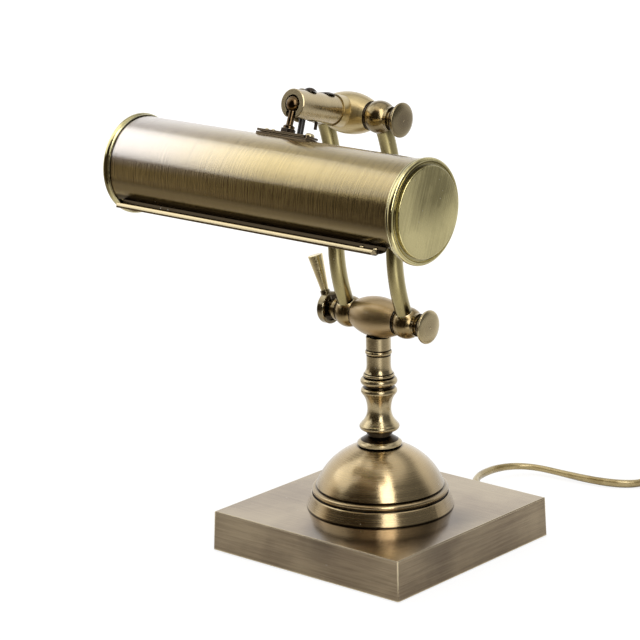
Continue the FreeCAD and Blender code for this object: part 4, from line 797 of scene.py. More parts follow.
# Centre of the painted shade on the caps' faces, above their middle.
CAP_SHADE_CENTRE = SHADE_AXIS + Vector((0, 0.0048, 0.012))
SHADE_FINISHES = (
    ShadeBrass("shade_brushed", (0.69, 0.535, 0.235), (0.40, 0.30, 0.11), rough=0.215,
               grain=Grain.ROUND_X, streak=0.40, cloud=0.14, bump=0.18, anisotropy=0.7,
               coat=0.9, coat_ior=1.7, coat_rough=0.13, wear_and_glint=0.0,
               shade_lines=(on_x_axis(LIP_LINE, 0.0040, 0.0060),)),
    # Painted shade on the face's middle and top, and rims painted bright as worn edges and their
    # highlight.
    BrushedBrass("cap_face", (0.80, 0.71, 0.35), (0.235, 0.20, 0.075), (0.95, 0.90, 0.66),
                 lathe=(SHADE_AXIS, X_AXIS), grain=Grain.UPRIGHT, slant=20, rough=0.24,
                 streak=0.34, base=0.9, cloud=0.42, cloud_scale=30, bump=0.045,
                 shade_and_pit_spots=(on_x_axis(CAP_SHADE_CENTRE, 0.007, 0.030, 0.80),), rim=0.0268,
                 recess=0.92, recess_reach=0.0022, recess_open=0.87,
                 wear_and_glint=0.9, wear_and_glint_radius=0.0007),
    BrushedBrass("lip_brass", (0.81, 0.68, 0.42), (0.58, 0.46, 0.25), grain=Grain.ALONG_X,
                 rough=0.2, streak=0.15, recess=0.97, wear_and_glint=0.4, wear_and_glint_radius=0.0002,
                 shade_lines=(on_x_axis(LIP_LINE, 0.0036, 0.0043),)),
)
SWIVEL_FINISHES = (
    # Painted shade deep in the hub's corners.
    BrushedBrass("lever_hub_brass", (0.38, 0.31, 0.17), (0.17, 0.13, 0.065),
                 lathe=(LOWER_AXIS, X_AXIS), rough=0.22, streak=0.2, anisotropy=0.4,
                 recess=0.98, recess_reach=0.009, recess_open=0.92, wear_and_glint_radius=0.0003),
    BrushedBrass("lever_metal", (0.94, 0.79, 0.43), (0.60, 0.46, 0.22), grain=Grain.FINE,
                 rough=0.23, cloud_scale=60),
    knob_brass("knob_lower", (0.56, 0.46, 0.26), (0.26, 0.195, 0.10), LOWER_AXIS, 0.45),
    # Darker copy of the lower knob's brass: painted shade.
    knob_brass("knob_upper", (0.34, 0.275, 0.15), (0.17, 0.125, 0.065), UPPER_AXIS, 0.6),
    BrushedBrass("barrel_lower", (0.58, 0.43, 0.22), (0.33, 0.23, 0.105),
                 lathe=(LOWER_AXIS, X_AXIS), rough=0.4, streak=0.12, cloud_scale=45, bump=0.04),
    BrushedBrass("barrel_upper", (0.72, 0.585, 0.30), (0.44, 0.33, 0.15),
                 lathe=(UPPER_AXIS, X_AXIS), rough=0.36, streak=0.2, cloud_scale=45, bump=0.03),
    BrushedBrass("ball_lower", (0.44, 0.325, 0.14), (0.17, 0.115, 0.05),
                 lathe=(LOWER_AXIS, X_AXIS), rough=0.23, cloud=0.4, cloud_scale=55, bump=0.03),
    # Darker copy of the lower balls' brass: painted shade.
    BrushedBrass("ball_upper", (0.36, 0.275, 0.125), (0.13, 0.09, 0.045),
                 lathe=(UPPER_AXIS, X_AXIS), rough=0.21, cloud=0.4, cloud_scale=55, bump=0.03),
    # Long reach: painted shade on the arms near the balls and barrels.
    BrushedBrass("arm_tube", (0.50, 0.425, 0.19), (0.26, 0.21, 0.085), grain=Grain.UPRIGHT,
                 rough=0.24, streak=0.16, cloud_scale=30, recess_reach=0.016,
                 recess_open=0.9, bump=0.02),
    BrushedBrass("bar_turned", (0.62, 0.51, 0.29), (0.36, 0.27, 0.15), rough=0.26,
                 lathe=(UPPER_AXIS, BAR_AXIS), lathe_scale=(240.0, 240.0, 12.0),
                 streak=0.05, cloud_scale=40, recess=0.7, recess_reach=0.0015,
                 bump=0.003, wear_and_glint=0.15, wear_and_glint_radius=0.0003),
)
STAND_FINISHES = (
    BrushedBrass("dome_spun", (0.64, 0.50, 0.275), (0.36, 0.25, 0.12), rough=0.25,
                 lathe=(ORIGIN, Z_AXIS), streak=0.15, anisotropy=0.7, tangent="Z",
                 cloud=0.3, cloud_scale=13, bump=0.02,
                 recess=0.98, recess_reach=0.0026, recess_open=0.95, wear_and_glint_radius=0.0003,
                 # Painted dark reflections on the dome.
                 dark_reflections=(Spot(Vector((0.040, 0.020, 0.038)), 0.006, 0.032, 0.45),
                         Spot(Vector((-0.030, -0.036, 0.034)), 0.002, 0.026, 0.25))),
    BrushedBrass("stem_turned", (0.62, 0.51, 0.29), (0.33, 0.24, 0.125), rough=0.26,
                 lathe=(ORIGIN, Z_AXIS), streak=0.13, anisotropy=0.5, tangent="Z",
                 cloud_scale=40, bump=0.015,
                 recess=0.98, recess_reach=0.0026, recess_open=0.92, wear_and_glint_radius=0.0003,
                 # The two lowest bands are painted shade on the neck and the collar's top under
                 # the foot bead; the rest darken the turned grooves.
                 grooves=(Groove(0.0715, 0.0118, 0.0019), Groove(0.0750, 0.0098, 0.0019),
                          Groove(0.1055, 0.0096, 0.0009), Groove(0.1118, 0.0093, 0.0004),
                          Groove(0.1141, 0.0089, 0.0003), Groove(0.1263, 0.0077, 0.0003),
                          Groove(0.1295, 0.0078, 0.0003))),
    # Painted reflection of the dark dome in front of it, painted dark reflections, painted shade
    # on the sides, and edges painted bright as wear and highlight.
    BrushedBrass("base_plate", (0.50, 0.40, 0.255), (0.22, 0.155, 0.095), (0.98, 0.86, 0.60),
                 grain=Grain.LEVEL, second=Grain.ALONG_X, side=0.68, rough=0.18, swing=0.03,
                 cloud=0.6, cloud_scale=12, streak=0.55, wear_and_glint=1.0, wear_and_glint_radius=0.0018,
                 recess=0.6,
                 shade_and_pit_spots=(Spot(Vector((0.028, -0.032, 0.0265)), 0.028, 0.062, 0.95),),
                 dark_reflections=(Spot(Vector((0.013, -0.059, 0.0264)), 0.008, 0.027, 0.62),
                         Spot(Vector((0.052, 0.002, 0.0264)), 0.004, 0.034, 0.5),
                         Spot(Vector((0.075, -0.036, 0.0264)), 0.0, 0.03, 0.35))),
    Felt("felt_cloth"),
)
FITTING_FINISHES = (
    PlainMetal("ball_polished", (0.20, 0.13, 0.06), (0.06, 0.038, 0.02), rough=0.17,
               recess=0.9),
    PlainMetal("plate_bronze", (0.12, 0.088, 0.055), (0.065, 0.048, 0.032), rough=0.25,
               bump=0.0, scale=22, wear_and_glint=0.55, wear_and_glint_colour=(0.62, 0.46, 0.26)),
    PlainMetal("dark_bronze_metal", (0.085, 0.062, 0.045), (0.022, 0.016, 0.012), rough=0.3,
               wear_and_glint=0.35),
    PlainMetal("steel_plain", (0.52, 0.50, 0.46), (0.30, 0.28, 0.25)),
    PlainMetal("screw_brass", (0.72, 0.63, 0.40), (0.42, 0.33, 0.18), rough=0.24),
    PlainMetal("iron_cast", (0.11, 0.105, 0.10), (0.04, 0.038, 0.036), rough=0.6, bump=0.5,
               wear_and_glint=0.2),
    PlainMetal("bulb_shell_metal", (0.70, 0.66, 0.56), (0.45, 0.41, 0.33)),
    PlainMetal("plug_blade_metal", (0.72, 0.66, 0.50), (0.50, 0.44, 0.31), rough=0.25),
    Plastic("holder_plastic", (0.03, 0.029, 0.028), (0.014, 0.013, 0.013)),
    Plastic("cord_pvc", (0.56, 0.45, 0.22), (0.36, 0.27, 0.105), rough=0.26, coat=0.6,
            metal=0.45, scale=60),
    Plastic("mould_gold", (0.46, 0.365, 0.18), (0.31, 0.235, 0.10), metal=0.3),
    Plastic("rocker_dark", (0.05, 0.04, 0.03), (0.03, 0.024, 0.018)),
    Plastic("lead_sleeve", (0.035, 0.028, 0.024), (0.014, 0.011, 0.010), rough=0.4),
    OpalGlass("opal_coating"),
)


@dataclass
class Finishes:
    """Every finish on the lamp, made once and found by its name."""

    made: dict[str, bpy.types.Material] = field(default_factory=dict)

    def build(self) -> None:
        """Makes every material."""
        for finish in (*SHADE_FINISHES, *SWIVEL_FINISHES, *STAND_FINISHES, *FITTING_FINISHES):
            self.made[finish.name] = finish.make()
        LOG.info("finishes: %d", len(self.made))

    def coat(self, piece: bpy.types.Object, finish: str) -> None:
        """Gives a piece one finish in place of what it has."""
        piece.data.materials.clear()
        piece.data.materials.append(self.made[finish])

    def dress(self, finish: str, *nodes: str) -> None:
        """Gives CAD nodes a finish.

        Args:
            finish: The finish's name.
            *nodes: The nodes' names.
        """
        for name in nodes:
            self.coat(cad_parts[name], finish)
        LOG.info("%s: %s", finish, ", ".join(nodes))


FINISHES = Finishes()


# ---------------------------------------------------------------- studio

def facing(azimuth: float, elevation: float) -> Vector:
    """The way towards a place round the lamp, from angles in degrees; 0 is the front."""
    az, el = math.radians(azimuth), math.radians(elevation)
    return Vector((math.sin(az) * math.cos(el), -math.cos(az) * math.cos(el), math.sin(el)))


def linked(name: str, data: bpy.types.ID) -> bpy.types.Object:
    """Puts data into the scene as an object.

    Args:
        name: The object's name.
        data: Its light, camera, curve or mesh.

    Returns:
        The new object.
    """
    made = bpy.data.objects.new(name, data)
    bpy.context.scene.collection.objects.link(made)
    return made


@dataclass(frozen=True)
class Softbox:
    """A soft rectangular light, by its angles in degrees and its sizes in metres."""

    name: str
    azimuth: float
    elevation: float
    distance: float
    wide: float
    high: float
    brightness: float
    colour: Colour = WHITE

    def hang(self, aim: Vector) -> None:
        """Hangs the softbox.

        Args:
            aim: The point that it faces.
        """
        way = facing(self.azimuth, self.elevation)
        light = bpy.data.lights.new(self.name, "AREA")
        light.shape = "RECTANGLE"
        light.size, light.size_y = self.wide, self.high
        light.energy = self.brightness * math.pi * self.wide * self.high
        light.color = self.colour
        lamp = linked(self.name, light)
        lamp.location = aim + way * self.distance
        lamp.rotation_euler = (-way).to_track_quat("-Z", "Y").to_euler()
        lamp.visible_camera = False
        LOG.info("softbox: %s", self.name)


@dataclass
class Room:
    """White for the camera, and a lit backdrop in a dim room for the rest.

    Every span or ramp goes by a direction's share of X, Y or Z: 1 is straight along it.
    """

    backdrop_way: Span = (-0.655, 0.755)
    backdrop_side: Span = (0.0, 0.5)
    backdrop_top: Span = (0.45, 0.72)
    backdrop_low: float = 0.12
    backdrop_light: float = 0.70
    backdrop_mirrored: float = 0.6
    front: Ramp = (-0.78, -0.35, 0.035, 0.27)
    right: Ramp = (0.1, 0.8, 1.0, 0.5)
    ceiling: Ramp = (0.74, 0.89, 0.0, 0.62)
    warm_front: Span = (-0.8, -0.1)
    warm: Colour = (1.0, 0.76, 0.5)
    neutral: Colour = (1.0, 0.985, 0.97)

    def build(self) -> None:
        """Builds the world."""
        world = bpy.data.worlds.new("studio_world")
        bpy.context.scene.world = world
        world.use_nodes = True
        world.node_tree.nodes.clear()
        board = Board(world.node_tree)
        x, y, z = board.split(board.run("TexCoord", out="Generated"))
        backdrop = board.ramp(x * self.backdrop_way[0] + y * self.backdrop_way[1],
                              *self.backdrop_side)
        backdrop = backdrop * board.ramp(z, *self.backdrop_top, 1.0, self.backdrop_low)
        sides = board.ramp(y, *self.front) * board.ramp(x, *self.right)
        level = sides + board.ramp(z, *self.ceiling) + backdrop * self.backdrop_light
        tint = board.mix(board.ramp(y, *self.warm_front), self.warm, self.neutral)
        board.show(backdrop * self.backdrop_mirrored, board.run("Background", tint, level),
                   board.run("Background", WHITE, 1.0), "ShaderNodeOutputWorld")
        LOG.info("room built")


@dataclass
class Table:
    """Pale table top that stays white to the camera and keeps the lamp's shadow. In metres."""

    half_width: float = 2.5
    back: float = 2.6
    front: float = -0.44
    glare_at: Point = (0.35, -0.28, 0.0)
    glare: Span = (0.05, 0.20)
    glare_light: float = 0.9
    glow: Ramp = (0.25, 1.1, 0.83, 1.0)
    skew: float = 0.5
    dark_front: Span = (-0.46, -0.14)
    dark_right: Ramp = (0.13, 0.45, 1.0, 0.42)
    mirrored_back: Ramp = (-0.05, 0.6, 0.0, 0.85)
    near: Colour = (0.22, 0.20, 0.18)
    far: Colour = (0.86, 0.85, 0.83)
    unlit: Colour = (0.1, 0.1, 0.1)
    shadow: Colour = (0.26, 0.26, 0.26)

    def top(self) -> bpy.types.Object:
        """A plane from its front edge to far behind the lamp.

        Returns:
            The plane.
        """
        clear_selection()
        bpy.ops.mesh.primitive_plane_add(size=1, location=(0, 0, 0))
        floor = bpy.context.active_object
        floor.name = "studio_floor"
        for corner in floor.data.vertices:
            corner.co.x *= 2 * self.half_width
            corner.co.y = self.back if corner.co.y > 0 else self.front
        return floor

    def paint(self) -> bpy.types.Material:
        """A matt table for the light, and a white one with a soft shadow for the camera.

        Returns:
            The material.
        """
        made = bpy.data.materials.new("pale_table")
        made.use_nodes = True
        made.node_tree.nodes.clear()
        board = Board(made.node_tree)
        place = board.run("TexCoord", out="Object")
        x, y, _ = board.split(place)
        pale = board.mix(board.ramp(y + x * self.skew, *self.dark_front), self.near, self.far)
        right = board.ramp(x, *self.dark_right)
        matt = board.run("BsdfDiffuse", board.mix(right, self.unlit, pale))
        away = board.run("VectorMath", place, out="Value", operation="LENGTH")
        hot = board.fade(board.away(place, Vector(self.glare_at)), *self.glare)
        glare = board.run("LightPath", out="Is Glossy Ray") * (hot * self.glare_light)
        glow = board.run("Emission", WHITE, board.ramp(away, *self.glow) + glare)
        white = board.run("AddShader", board.run("BsdfDiffuse", self.shadow), glow)
        behind = right * board.ramp(y, *self.mirrored_back)
        board.show(hot.most(behind), matt, white, "ShaderNodeOutputMaterial")
        return made

    def build(self) -> None:
        """Lays the table under the lamp."""
        floor = self.top()
        floor.data.materials.append(self.paint())
        LOG.info("table laid")


@dataclass
class Studio:
    """Camera, softboxes, pale table and white room. Places in millimetres."""

    camera_at: Point = (1061.87, -1281.49, 606.66)
    azimuth: float = 40.903
    elevation: float = 15.374
    roll: float = -1.056
    lens: float = 154.61
    sensor: float = 36.0
    aim: Point = (0, -40, 190)
    softboxes: tuple[Softbox, ...] = (
        Softbox("key_softbox", -62, 40, 0.95, 0.83, 0.74, 1.10, (0.97, 1.0, 1.03)),
        Softbox("strip_softbox", 55, 38, 1.1, 0.46, 1.30, 3.8, (1.0, 0.99, 0.98)),
        Softbox("top_softbox", -20, 72, 1.1, 0.7, 0.4, 0.6),
    )

    def build(self) -> None:
        """Sets the whole studio."""
        bpy.context.scene.view_settings.view_transform = "Standard"
        self.build_camera()
        for box in self.softboxes:
            box.hang(Vector(self.aim) * MM)
        Room().build()
        Table().build()

    def build_camera(self) -> None:
        """Places the camera."""
        back = facing(self.azimuth, self.elevation)
        roll = math.radians(self.roll)
        right = facing(self.azimuth + 90.0, 0.0)
        up = back.cross(right)
        side = math.cos(roll) * right + math.sin(roll) * up
        rise = math.cos(roll) * up - math.sin(roll) * right
        lens = bpy.data.cameras.new("view")
        lens.lens, lens.sensor_width = self.lens, self.sensor
        lens.clip_start, lens.clip_end = 0.01, 50.0
        camera = linked("view", lens)
        camera.matrix_world = Matrix.Translation(Vector(self.camera_at) * MM) @ Matrix(
            (side, rise, back)).transposed().to_4x4()
        bpy.context.scene.camera = camera
        LOG.info("camera placed")


# ---------------------------------------------------------------- modelling helpers

def clear_selection() -> None:
    """Deselects everything."""
    if bpy.context.mode != "OBJECT":
        bpy.ops.object.mode_set(mode="OBJECT")
    bpy.ops.object.select_all(action="DESELECT")


def settle(piece: bpy.types.Object, body: str, finish: str, smooth: float) -> None:
    """Applies a piece's place, smooths and dresses it, and lets it ride on a body.

    Args:
        piece: The piece, as modelled.
        body: The CAD body that it moves with.
        finish: The name of its finish.
        smooth: The sharpest angle that is shaded smooth, in degrees.
    """
    clear_selection()
    piece.select_set(True)
    bpy.context.view_layer.objects.active = piece
    bpy.ops.object.transform_apply(location=True, rotation=True, scale=True)
    bpy.ops.object.shade_smooth_by_angle(angle=math.radians(smooth))
    FINISHES.coat(piece, finish)
    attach(piece, body)
    LOG.info("piece: %s, %d faces", piece.name, len(piece.data.polygons))


def outline_ring(points: list[Point], name: str) -> bpy.types.Object:
    """A closed loop of edges through points, from a circle, left in edit mode.

    Args:
        points: The corners in millimetres.
        name: The piece's name.

    Returns:
        The new object, with its loop selected.
    """
    clear_selection()
    bpy.ops.mesh.primitive_circle_add(vertices=len(points), radius=1, fill_type="NOTHING")
    piece = bpy.context.active_object
    piece.name = piece.data.name = name
    for corner, place in zip(piece.data.vertices, points):
        corner.co = Vector(place) * MM
    bpy.ops.object.mode_set(mode="EDIT")
    bpy.ops.mesh.select_all(action="SELECT")
    return piece


def face_outwards() -> None:
    """Turns every face of the edited piece outwards and leaves edit mode."""
    bpy.ops.mesh.select_all(action="SELECT")
    bpy.ops.mesh.normals_make_consistent(inside=False)
    bpy.ops.object.mode_set(mode="OBJECT")


def turned_piece(name: str, profile: Outline, steps: int, at: Point = (0, 0, 0),
                 axis: Point = Z_AXIS) -> bpy.types.Object:
    """A lathe piece: a closed profile spun round an axis.

    Args:
        name: The piece's name.
        profile: Radius and distance along the axis of each corner, in millimetres.
        steps: Facets round the axis.
        at: Where the axis starts, in millimetres.
        axis: The way it points.

    Returns:
        The piece, in its place.
    """
    piece = outline_ring([(radius, 0.0, along) for radius, along in profile], name)
    bpy.ops.mesh.spin(steps=steps, angle=math.tau, center=(0, 0, 0), axis=Z_AXIS)
    bpy.ops.mesh.select_all(action="SELECT")
    bpy.ops.mesh.remove_doubles(threshold=1e-6)
    bpy.ops.mesh.delete_loose()
    face_outwards()
    turn = Vector(Z_AXIS).rotation_difference(Vector(axis)).to_matrix().to_4x4()
    piece.data.transform(Matrix.Translation(Vector(at) * MM) @ turn)
    return piece


def drawn_piece(name: str, profile: Outline, half: float) -> bpy.types.Object:
    """A strip of one section along X.

    Args:
        name: The piece's name.
        profile: Y and Z of the section's corners in millimetres.
        half: Half its length.

    Returns:
        The piece, in its place.
    """
    piece = outline_ring([(-half, y, z) for y, z in profile], name)
    bpy.ops.mesh.edge_face_add()
    bpy.ops.mesh.extrude_region_move(
        TRANSFORM_OT_translate={"value": (2 * half * MM, 0, 0)})
    face_outwards()
    return piece


def arc_points(centre: tuple[float, float], radius: float, start: float, stop: float,
               steps: int) -> Outline:
    """Points along an arc.

    Args:
        centre: Its centre.
        radius: Its radius.
        start: The first point's angle in degrees.
        stop: The last point's angle.
        steps: How many chords it has.

    Returns:
        The points, both ends included.
    """
    angles = [math.radians(start + (stop - start) * step / steps) for step in range(steps + 1)]
    return [(centre[0] + radius * math.cos(angle), centre[1] + radius * math.sin(angle))
            for angle in angles]


# ---------------------------------------------------------------- mains cord, in millimetres

@dataclass
class MainsCord:
    """Flat two-core cord through the switch to a wound coil and the plug.

    Its diameter, length and exit are declared in metres. Each roll turns it on its side by an
    angle in degrees, round a length run and over a reach in metres.
    """

    diameter: float = 5.5 * MM
    declared: float = 1.8
    exit_at: Point = (0.0, 0.1001, 0.0085)
    wide: float = 5.7
    thick: float = 4.3
    core_points: int = 7
    clearance: float = 0.1
    lying: float = 2.75
    switch_at: tuple[float, float] = (106.0, 239.0)
    switch_height: float = 7.0
    switch_turn: float = 47.0
    coil_at: tuple[float, float] = (150.0, 186.0)
    coil_radius: float = 24.5
    pitch: float = 5.5
    laps: tuple[tuple[int, int], ...] = (
        (2, 0), (1, 0), (0, 0), (0, 1), (0, 2), (1, 2), (1, 1), (2, 1))
    lap_change: float = 0.20
    slack: float = 0.35
    slack_rate: float = 0.031
    coil_start: float = 11.15
    coil_stop: float = -38.0
    per_turn: int = 14
    lean: float = 14.0
    rolls: tuple[tuple[float, float, float], ...] = ((46.0, 0.035, 0.028), (58.0, 0.145, 0.036))
    sway: float = 9.0
    sway_rate: float = 21.0

    def along_switch(self, distance: float, height: float) -> Point:
        """A point on the cord's line through the switch.

        Args:
            distance: How far past the switch's middle it lies.
            height: Its height over the table.

        Returns:
            The point.
        """
        turn = math.radians(self.switch_turn)
        return (self.switch_at[0] + distance * math.cos(turn),
                self.switch_at[1] + distance * math.sin(turn), height)

    def coil_points(self) -> list[Point]:
        """The wound laps: inwards on the table, up the inside, and back out on top.

        Returns:
            The control points, pushed out a little because the spline runs inside them.
        """
        cells = [(self.coil_radius + out * self.pitch, self.lying + up * self.pitch)
                 for out, up in self.laps]
        sweep = self.coil_start - self.coil_stop + 360.0 * (len(cells) - 1)
        count = round(sweep / 360.0 * self.per_turn)
        outward = 1 / (0.75 + 0.25 * math.cos(2 * math.pi / self.per_turn))
        points = []
        for index in range(1, count):
            turned = sweep * index / count
            lap, part = divmod(turned / 360.0, 1.0)
            here = cells[int(lap)]
            after = cells[min(int(lap) + 1, len(cells) - 1)]
            share = max(0.0, min(1.0, (part - 1 + self.lap_change) / self.lap_change))
            share = share * share * (3 - 2 * share)
            radius = here[0] + (after[0] - here[0]) * share
            radius += self.slack * math.sin(turned * self.slack_rate) if lap > 0 else 0.0
            angle = math.radians(self.coil_start - turned)
            points.append((self.coil_at[0] + radius * outward * math.cos(angle),
                           self.coil_at[1] + radius * outward * math.sin(angle),
                           here[1] + (after[1] - here[1]) * share))
        return points

    def route(self) -> list[Point]:
        """The cord's way over the table.

        Returns:
            The whole route's control points.
        """
        low, high = self.lying, self.switch_height
        lead = [(0, 100.1, 8.5), (-0.5, 104, 8.5), (-5.5, 109, 8.5), (-12.5, 115.5, 8.5),
                (-16.5, 124, 8.3), (-18.6, 133.5, 8.0), (-19.2, 146.5, 7.4),
                (-15.6, 158.8, 6.7), (-8, 167.0, 6.0), (1.9, 171.6, 5.3), (17.6, 173.2, 4.6),
                (33.4, 174.6, 4.1), (47.8, 177.6, 3.5), (60.5, 183.4, 3.0), (69.0, 192.0, low)]
        through = [self.along_switch(distance, height) for distance, height in (
            (-55, low), (-38, high), (-30, high), (30, high), (38, high), (55, low))]
        tail = [(159, 284.5, low), (175.5, 282, low), (188.5, 272, low), (195.5, 257, low),
                (195.5, 239.5, low), (192.5, 222, low), (188, 206.5, low), (185.5, 193, low)]
        end = [(177.9, 163.2, 8.0), (173.6, 155.7, 7.2), (172.5, 141, 6), (172.5, 132, 6)]
        return lead + through + tail + self.coil_points() + end

    def spline_path(self) -> list[Vector]:
        """Runs a smooth spline over the route.

        Returns:
            Points along it, in metres.
        """
        curve = bpy.data.curves.new("cord_route", "CURVE")
        curve.dimensions = "3D"
        curve.resolution_u = 8
        spline = curve.splines.new("NURBS")
        route = self.route()
        spline.points.add(len(route) - 1)
        for point, place in zip(spline.points, route):
            point.co = (*(v * MM for v in place), 1.0)
        spline.order_u = 3
        spline.use_endpoint_u = True
        guide = linked("cord_route", curve)
        line = bpy.data.meshes.new_from_object(guide)
        path = [v.co.copy() for v in line.vertices]
        bpy.data.objects.remove(guide)
        bpy.data.curves.remove(curve)
        bpy.data.meshes.remove(line)
        return path

    def twist(self, run: float) -> float:
        """How far the flat cord has turned on its side, by the length run in metres."""
        rolled = sum(turn * math.exp(-((run - at) / reach) ** 2) for turn, at, reach in self.rolls)
        return math.radians(self.lean + rolled + self.sway * math.sin(run * self.sway_rate))

    def section(self) -> Outline:
        """The two-core outline: two rounds that meet in a shallow groove.

        Returns:
            Its points across and up, in millimetres.
        """
        radius = self.thick / 2
        apart = self.wide / 2 - radius
        half = math.pi - math.acos(apart / radius)
        outline = []
        for side in (1, -1):
            for index in range(self.core_points):
                angle = 2 * half * (index + 0.5) / self.core_points - half
                outline.append((side * (apart + radius * math.cos(angle)),
                                side * radius * math.sin(angle)))
        return outline

    def ring(self, centre: Vector, ahead: Vector, run: float) -> list[Vector]:
        """The section round one point of the path, lifted off the table where it dips in.

        Args:
            centre: The point.
            ahead: The path's direction there.
            run: The length run up to it.

        Returns:
            The section's points, in metres.
        """
        side = ahead.cross(Vector(Z_AXIS)).normalized()
        rise = side.cross(ahead)
        angle = self.twist(run)
        across = (math.cos(angle) * side + math.sin(angle) * rise) * MM
        upward = (math.cos(angle) * rise - math.sin(angle) * side) * MM
        points = [centre + across * u + upward * v for u, v in self.section()]
        lift = max(0.0, self.clearance * MM - min(point.z for point in points))
        return [point + Vector((0, 0, lift)) for point in points]

    def swept(self, path: list[Vector], runs: list[float]) -> bpy.types.Object:
        """Sweeps the section along the path.

        Args:
            path: Its points.
            runs: The length run up to each.

        Returns:
            The cord, closed at both ends.
        """
        mesh = bmesh.new()
        rows = []
        for index, (centre, run) in enumerate(zip(path, runs)):
            ahead = path[min(index + 1, len(path) - 1)] - path[max(index - 1, 0)]
            rows.append([mesh.verts.new(p) for p in self.ring(centre, ahead.normalized(), run)])
        for first, second in zip(rows, rows[1:]):
            for index in range(len(first)):
                after = (index + 1) % len(first)
                mesh.faces.new((first[index], first[after], second[after], second[index]))
        mesh.faces.new(list(reversed(rows[0])))
        mesh.faces.new(rows[-1])
        bmesh.ops.recalc_face_normals(mesh, faces=mesh.faces)
        data = bpy.data.meshes.new("mains_cord")
        mesh.to_mesh(data)
        mesh.free()
        return linked("mains_cord", data)

    def build(self) -> None:
        path = self.spline_path()
        runs = [0.0]
        for before, after in zip(path, path[1:]):
            runs.append(runs[-1] + (after - before).length)
        cord = self.swept(path, runs)
        settle(cord, "stand", "cord_pvc", smooth=60)
        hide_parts("cord_lead", "cord_tail", "cord_coil", "cord_end")
        LOG.info("cord: %.3f m on its spline", runs[-1])


# ---------------------------------------------------------------- assemblies, in millimetres

@dataclass
class RibbedSleeve:
    """Soft tapered sleeve with rings round it, where the cord enters something."""

    length: float
    wide_end: float
    thin_end: float
    rings: int
    bore: float = 2.0
    proud: float = 0.55
    crown: tuple[tuple[float, float], ...] = (
        (0.08, 0.0), (0.22, 0.8), (0.42, 1.0), (0.62, 0.8), (0.76, 0.0))

    def profile(self) -> Outline:
        """The outline of the sleeve's wall.

        Returns:
            Radius and distance from the wide end.
        """
        outline = [(self.bore, 0.0)]
        for ring in range(self.rings):
            for share, raised in self.crown:
                far = (ring + share) * self.length / self.rings
                cone = self.wide_end + (self.thin_end - self.wide_end) * far / self.length
                outline.append((cone + raised * self.proud, far))
        return outline + [(self.thin_end, self.length), (self.bore, self.length)]

    def build(self, name: str, at: Point, axis: Point, finish: str, slot: str) -> None:
        """Turns the sleeve and slides it on.

        Args:
            name: The piece's name.
            at: The middle of its wide end, in millimetres.
            axis: The way it points.
            finish: The name of its finish.
            slot: Not used.
        """
        sleeve = turned_piece(name, self.profile(), 48, at, axis)
        settle(sleeve, "stand", finish, smooth=50)


@dataclass
class Base:
    """Square weighted base with its felt and fittings."""

    bush_at: Point = (0, 80.0, 8.5)
    bush_ribs: RibbedSleeve = field(default_factory=lambda: RibbedSleeve(
        19.6, 5.35, 3.75, 6, bore=2.9))

    def build(self) -> None:
        """Rings the cord's bush and dresses the rest."""
        self.bush_ribs.build("bush_ribs", self.bush_at, (0, 1, 0), "cord_pvc", "gold_pvc")
        FINISHES.dress("base_plate", "base_cover")
        FINISHES.dress("iron_cast", "base_weight")
        FINISHES.dress("steel_plain", "bottom_plate", "plate_screws", "threaded_tube",
                       "stem_washer", "stem_nut")
        FINISHES.dress("felt_cloth", "felt_pad")
        FINISHES.dress("cord_pvc", "base_lead", "cord_bush")


@dataclass
class Baluster:
    """Turned baluster: foot bead, waist, two beads, flared ring and ringed top."""

    bore: float = 5.2
    bottom: float = 74.5
    top: float = 129.5

    def profile(self) -> Outline:
        """The outline from the top down.

        Returns:
            Radius and height of each corner.
        """
        crown = [(self.bore, self.top), (7.3, self.top), (7.4, self.top - 0.35)]
        ring = arc_points((7.05, 127.95), 1.5, 55, -55, 8)
        body = [(7.45, 126.5), (7.45, 126.15), (7.8, 125.9), (7.75, 124.0), (7.7, 121.5),
                (7.72, 119.0), (7.88, 117.3), (8.25, 116.0), (8.85, 114.9), (9.05, 114.55)]
        flare = [(8.5, 114.3), (8.5, 113.9)] + arc_points((8.85, 113.0), 1.1, 58, -58, 7)
        first = [(8.9, 112.0), (8.8, 111.5)] + arc_points((9.3, 109.15), 2.45, 62, -68, 12)
        second = [(8.9, 106.4), (8.7, 105.5), (9.0, 104.8)] + arc_points(
            (9.15, 102.6), 2.4, 66, -42, 11)
        waist = [(10.1, 99.9), (9.1, 98.2), (8.4, 96.3), (7.9, 94.2), (7.62, 92.2),
                 (7.55, 90.4), (7.7, 88.6), (8.1, 86.8), (8.7, 85.2), (9.5, 83.8),
                 (10.4, 82.6), (11.3, 81.65)]
        foot = arc_points((10.7, 79.1), 2.05, 62, -78, 12)
        neck = [(9.0, 76.7), (8.4, 76.2), (8.3, 75.4), (8.3, self.bottom),
                (self.bore, self.bottom)]
        return crown + ring + body + flare + first + second + waist + foot + neck

    def build(self) -> None:
        """Turns the baluster."""
        piece = turned_piece("turned_baluster", self.profile(), 96)
        settle(piece, "stand", "stem_turned", smooth=34)
        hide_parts("baluster")


@dataclass
class Stem:
    """Dome, collar, baluster and ferrule."""

    baluster: Baluster = field(default_factory=Baluster)

    def build(self) -> None:
        """Turns the baluster and dresses the rest."""
        self.baluster.build()
        FINISHES.dress("dome_spun", "dome")
        FINISHES.dress("stem_turned", "stem_collar", "ferrule")


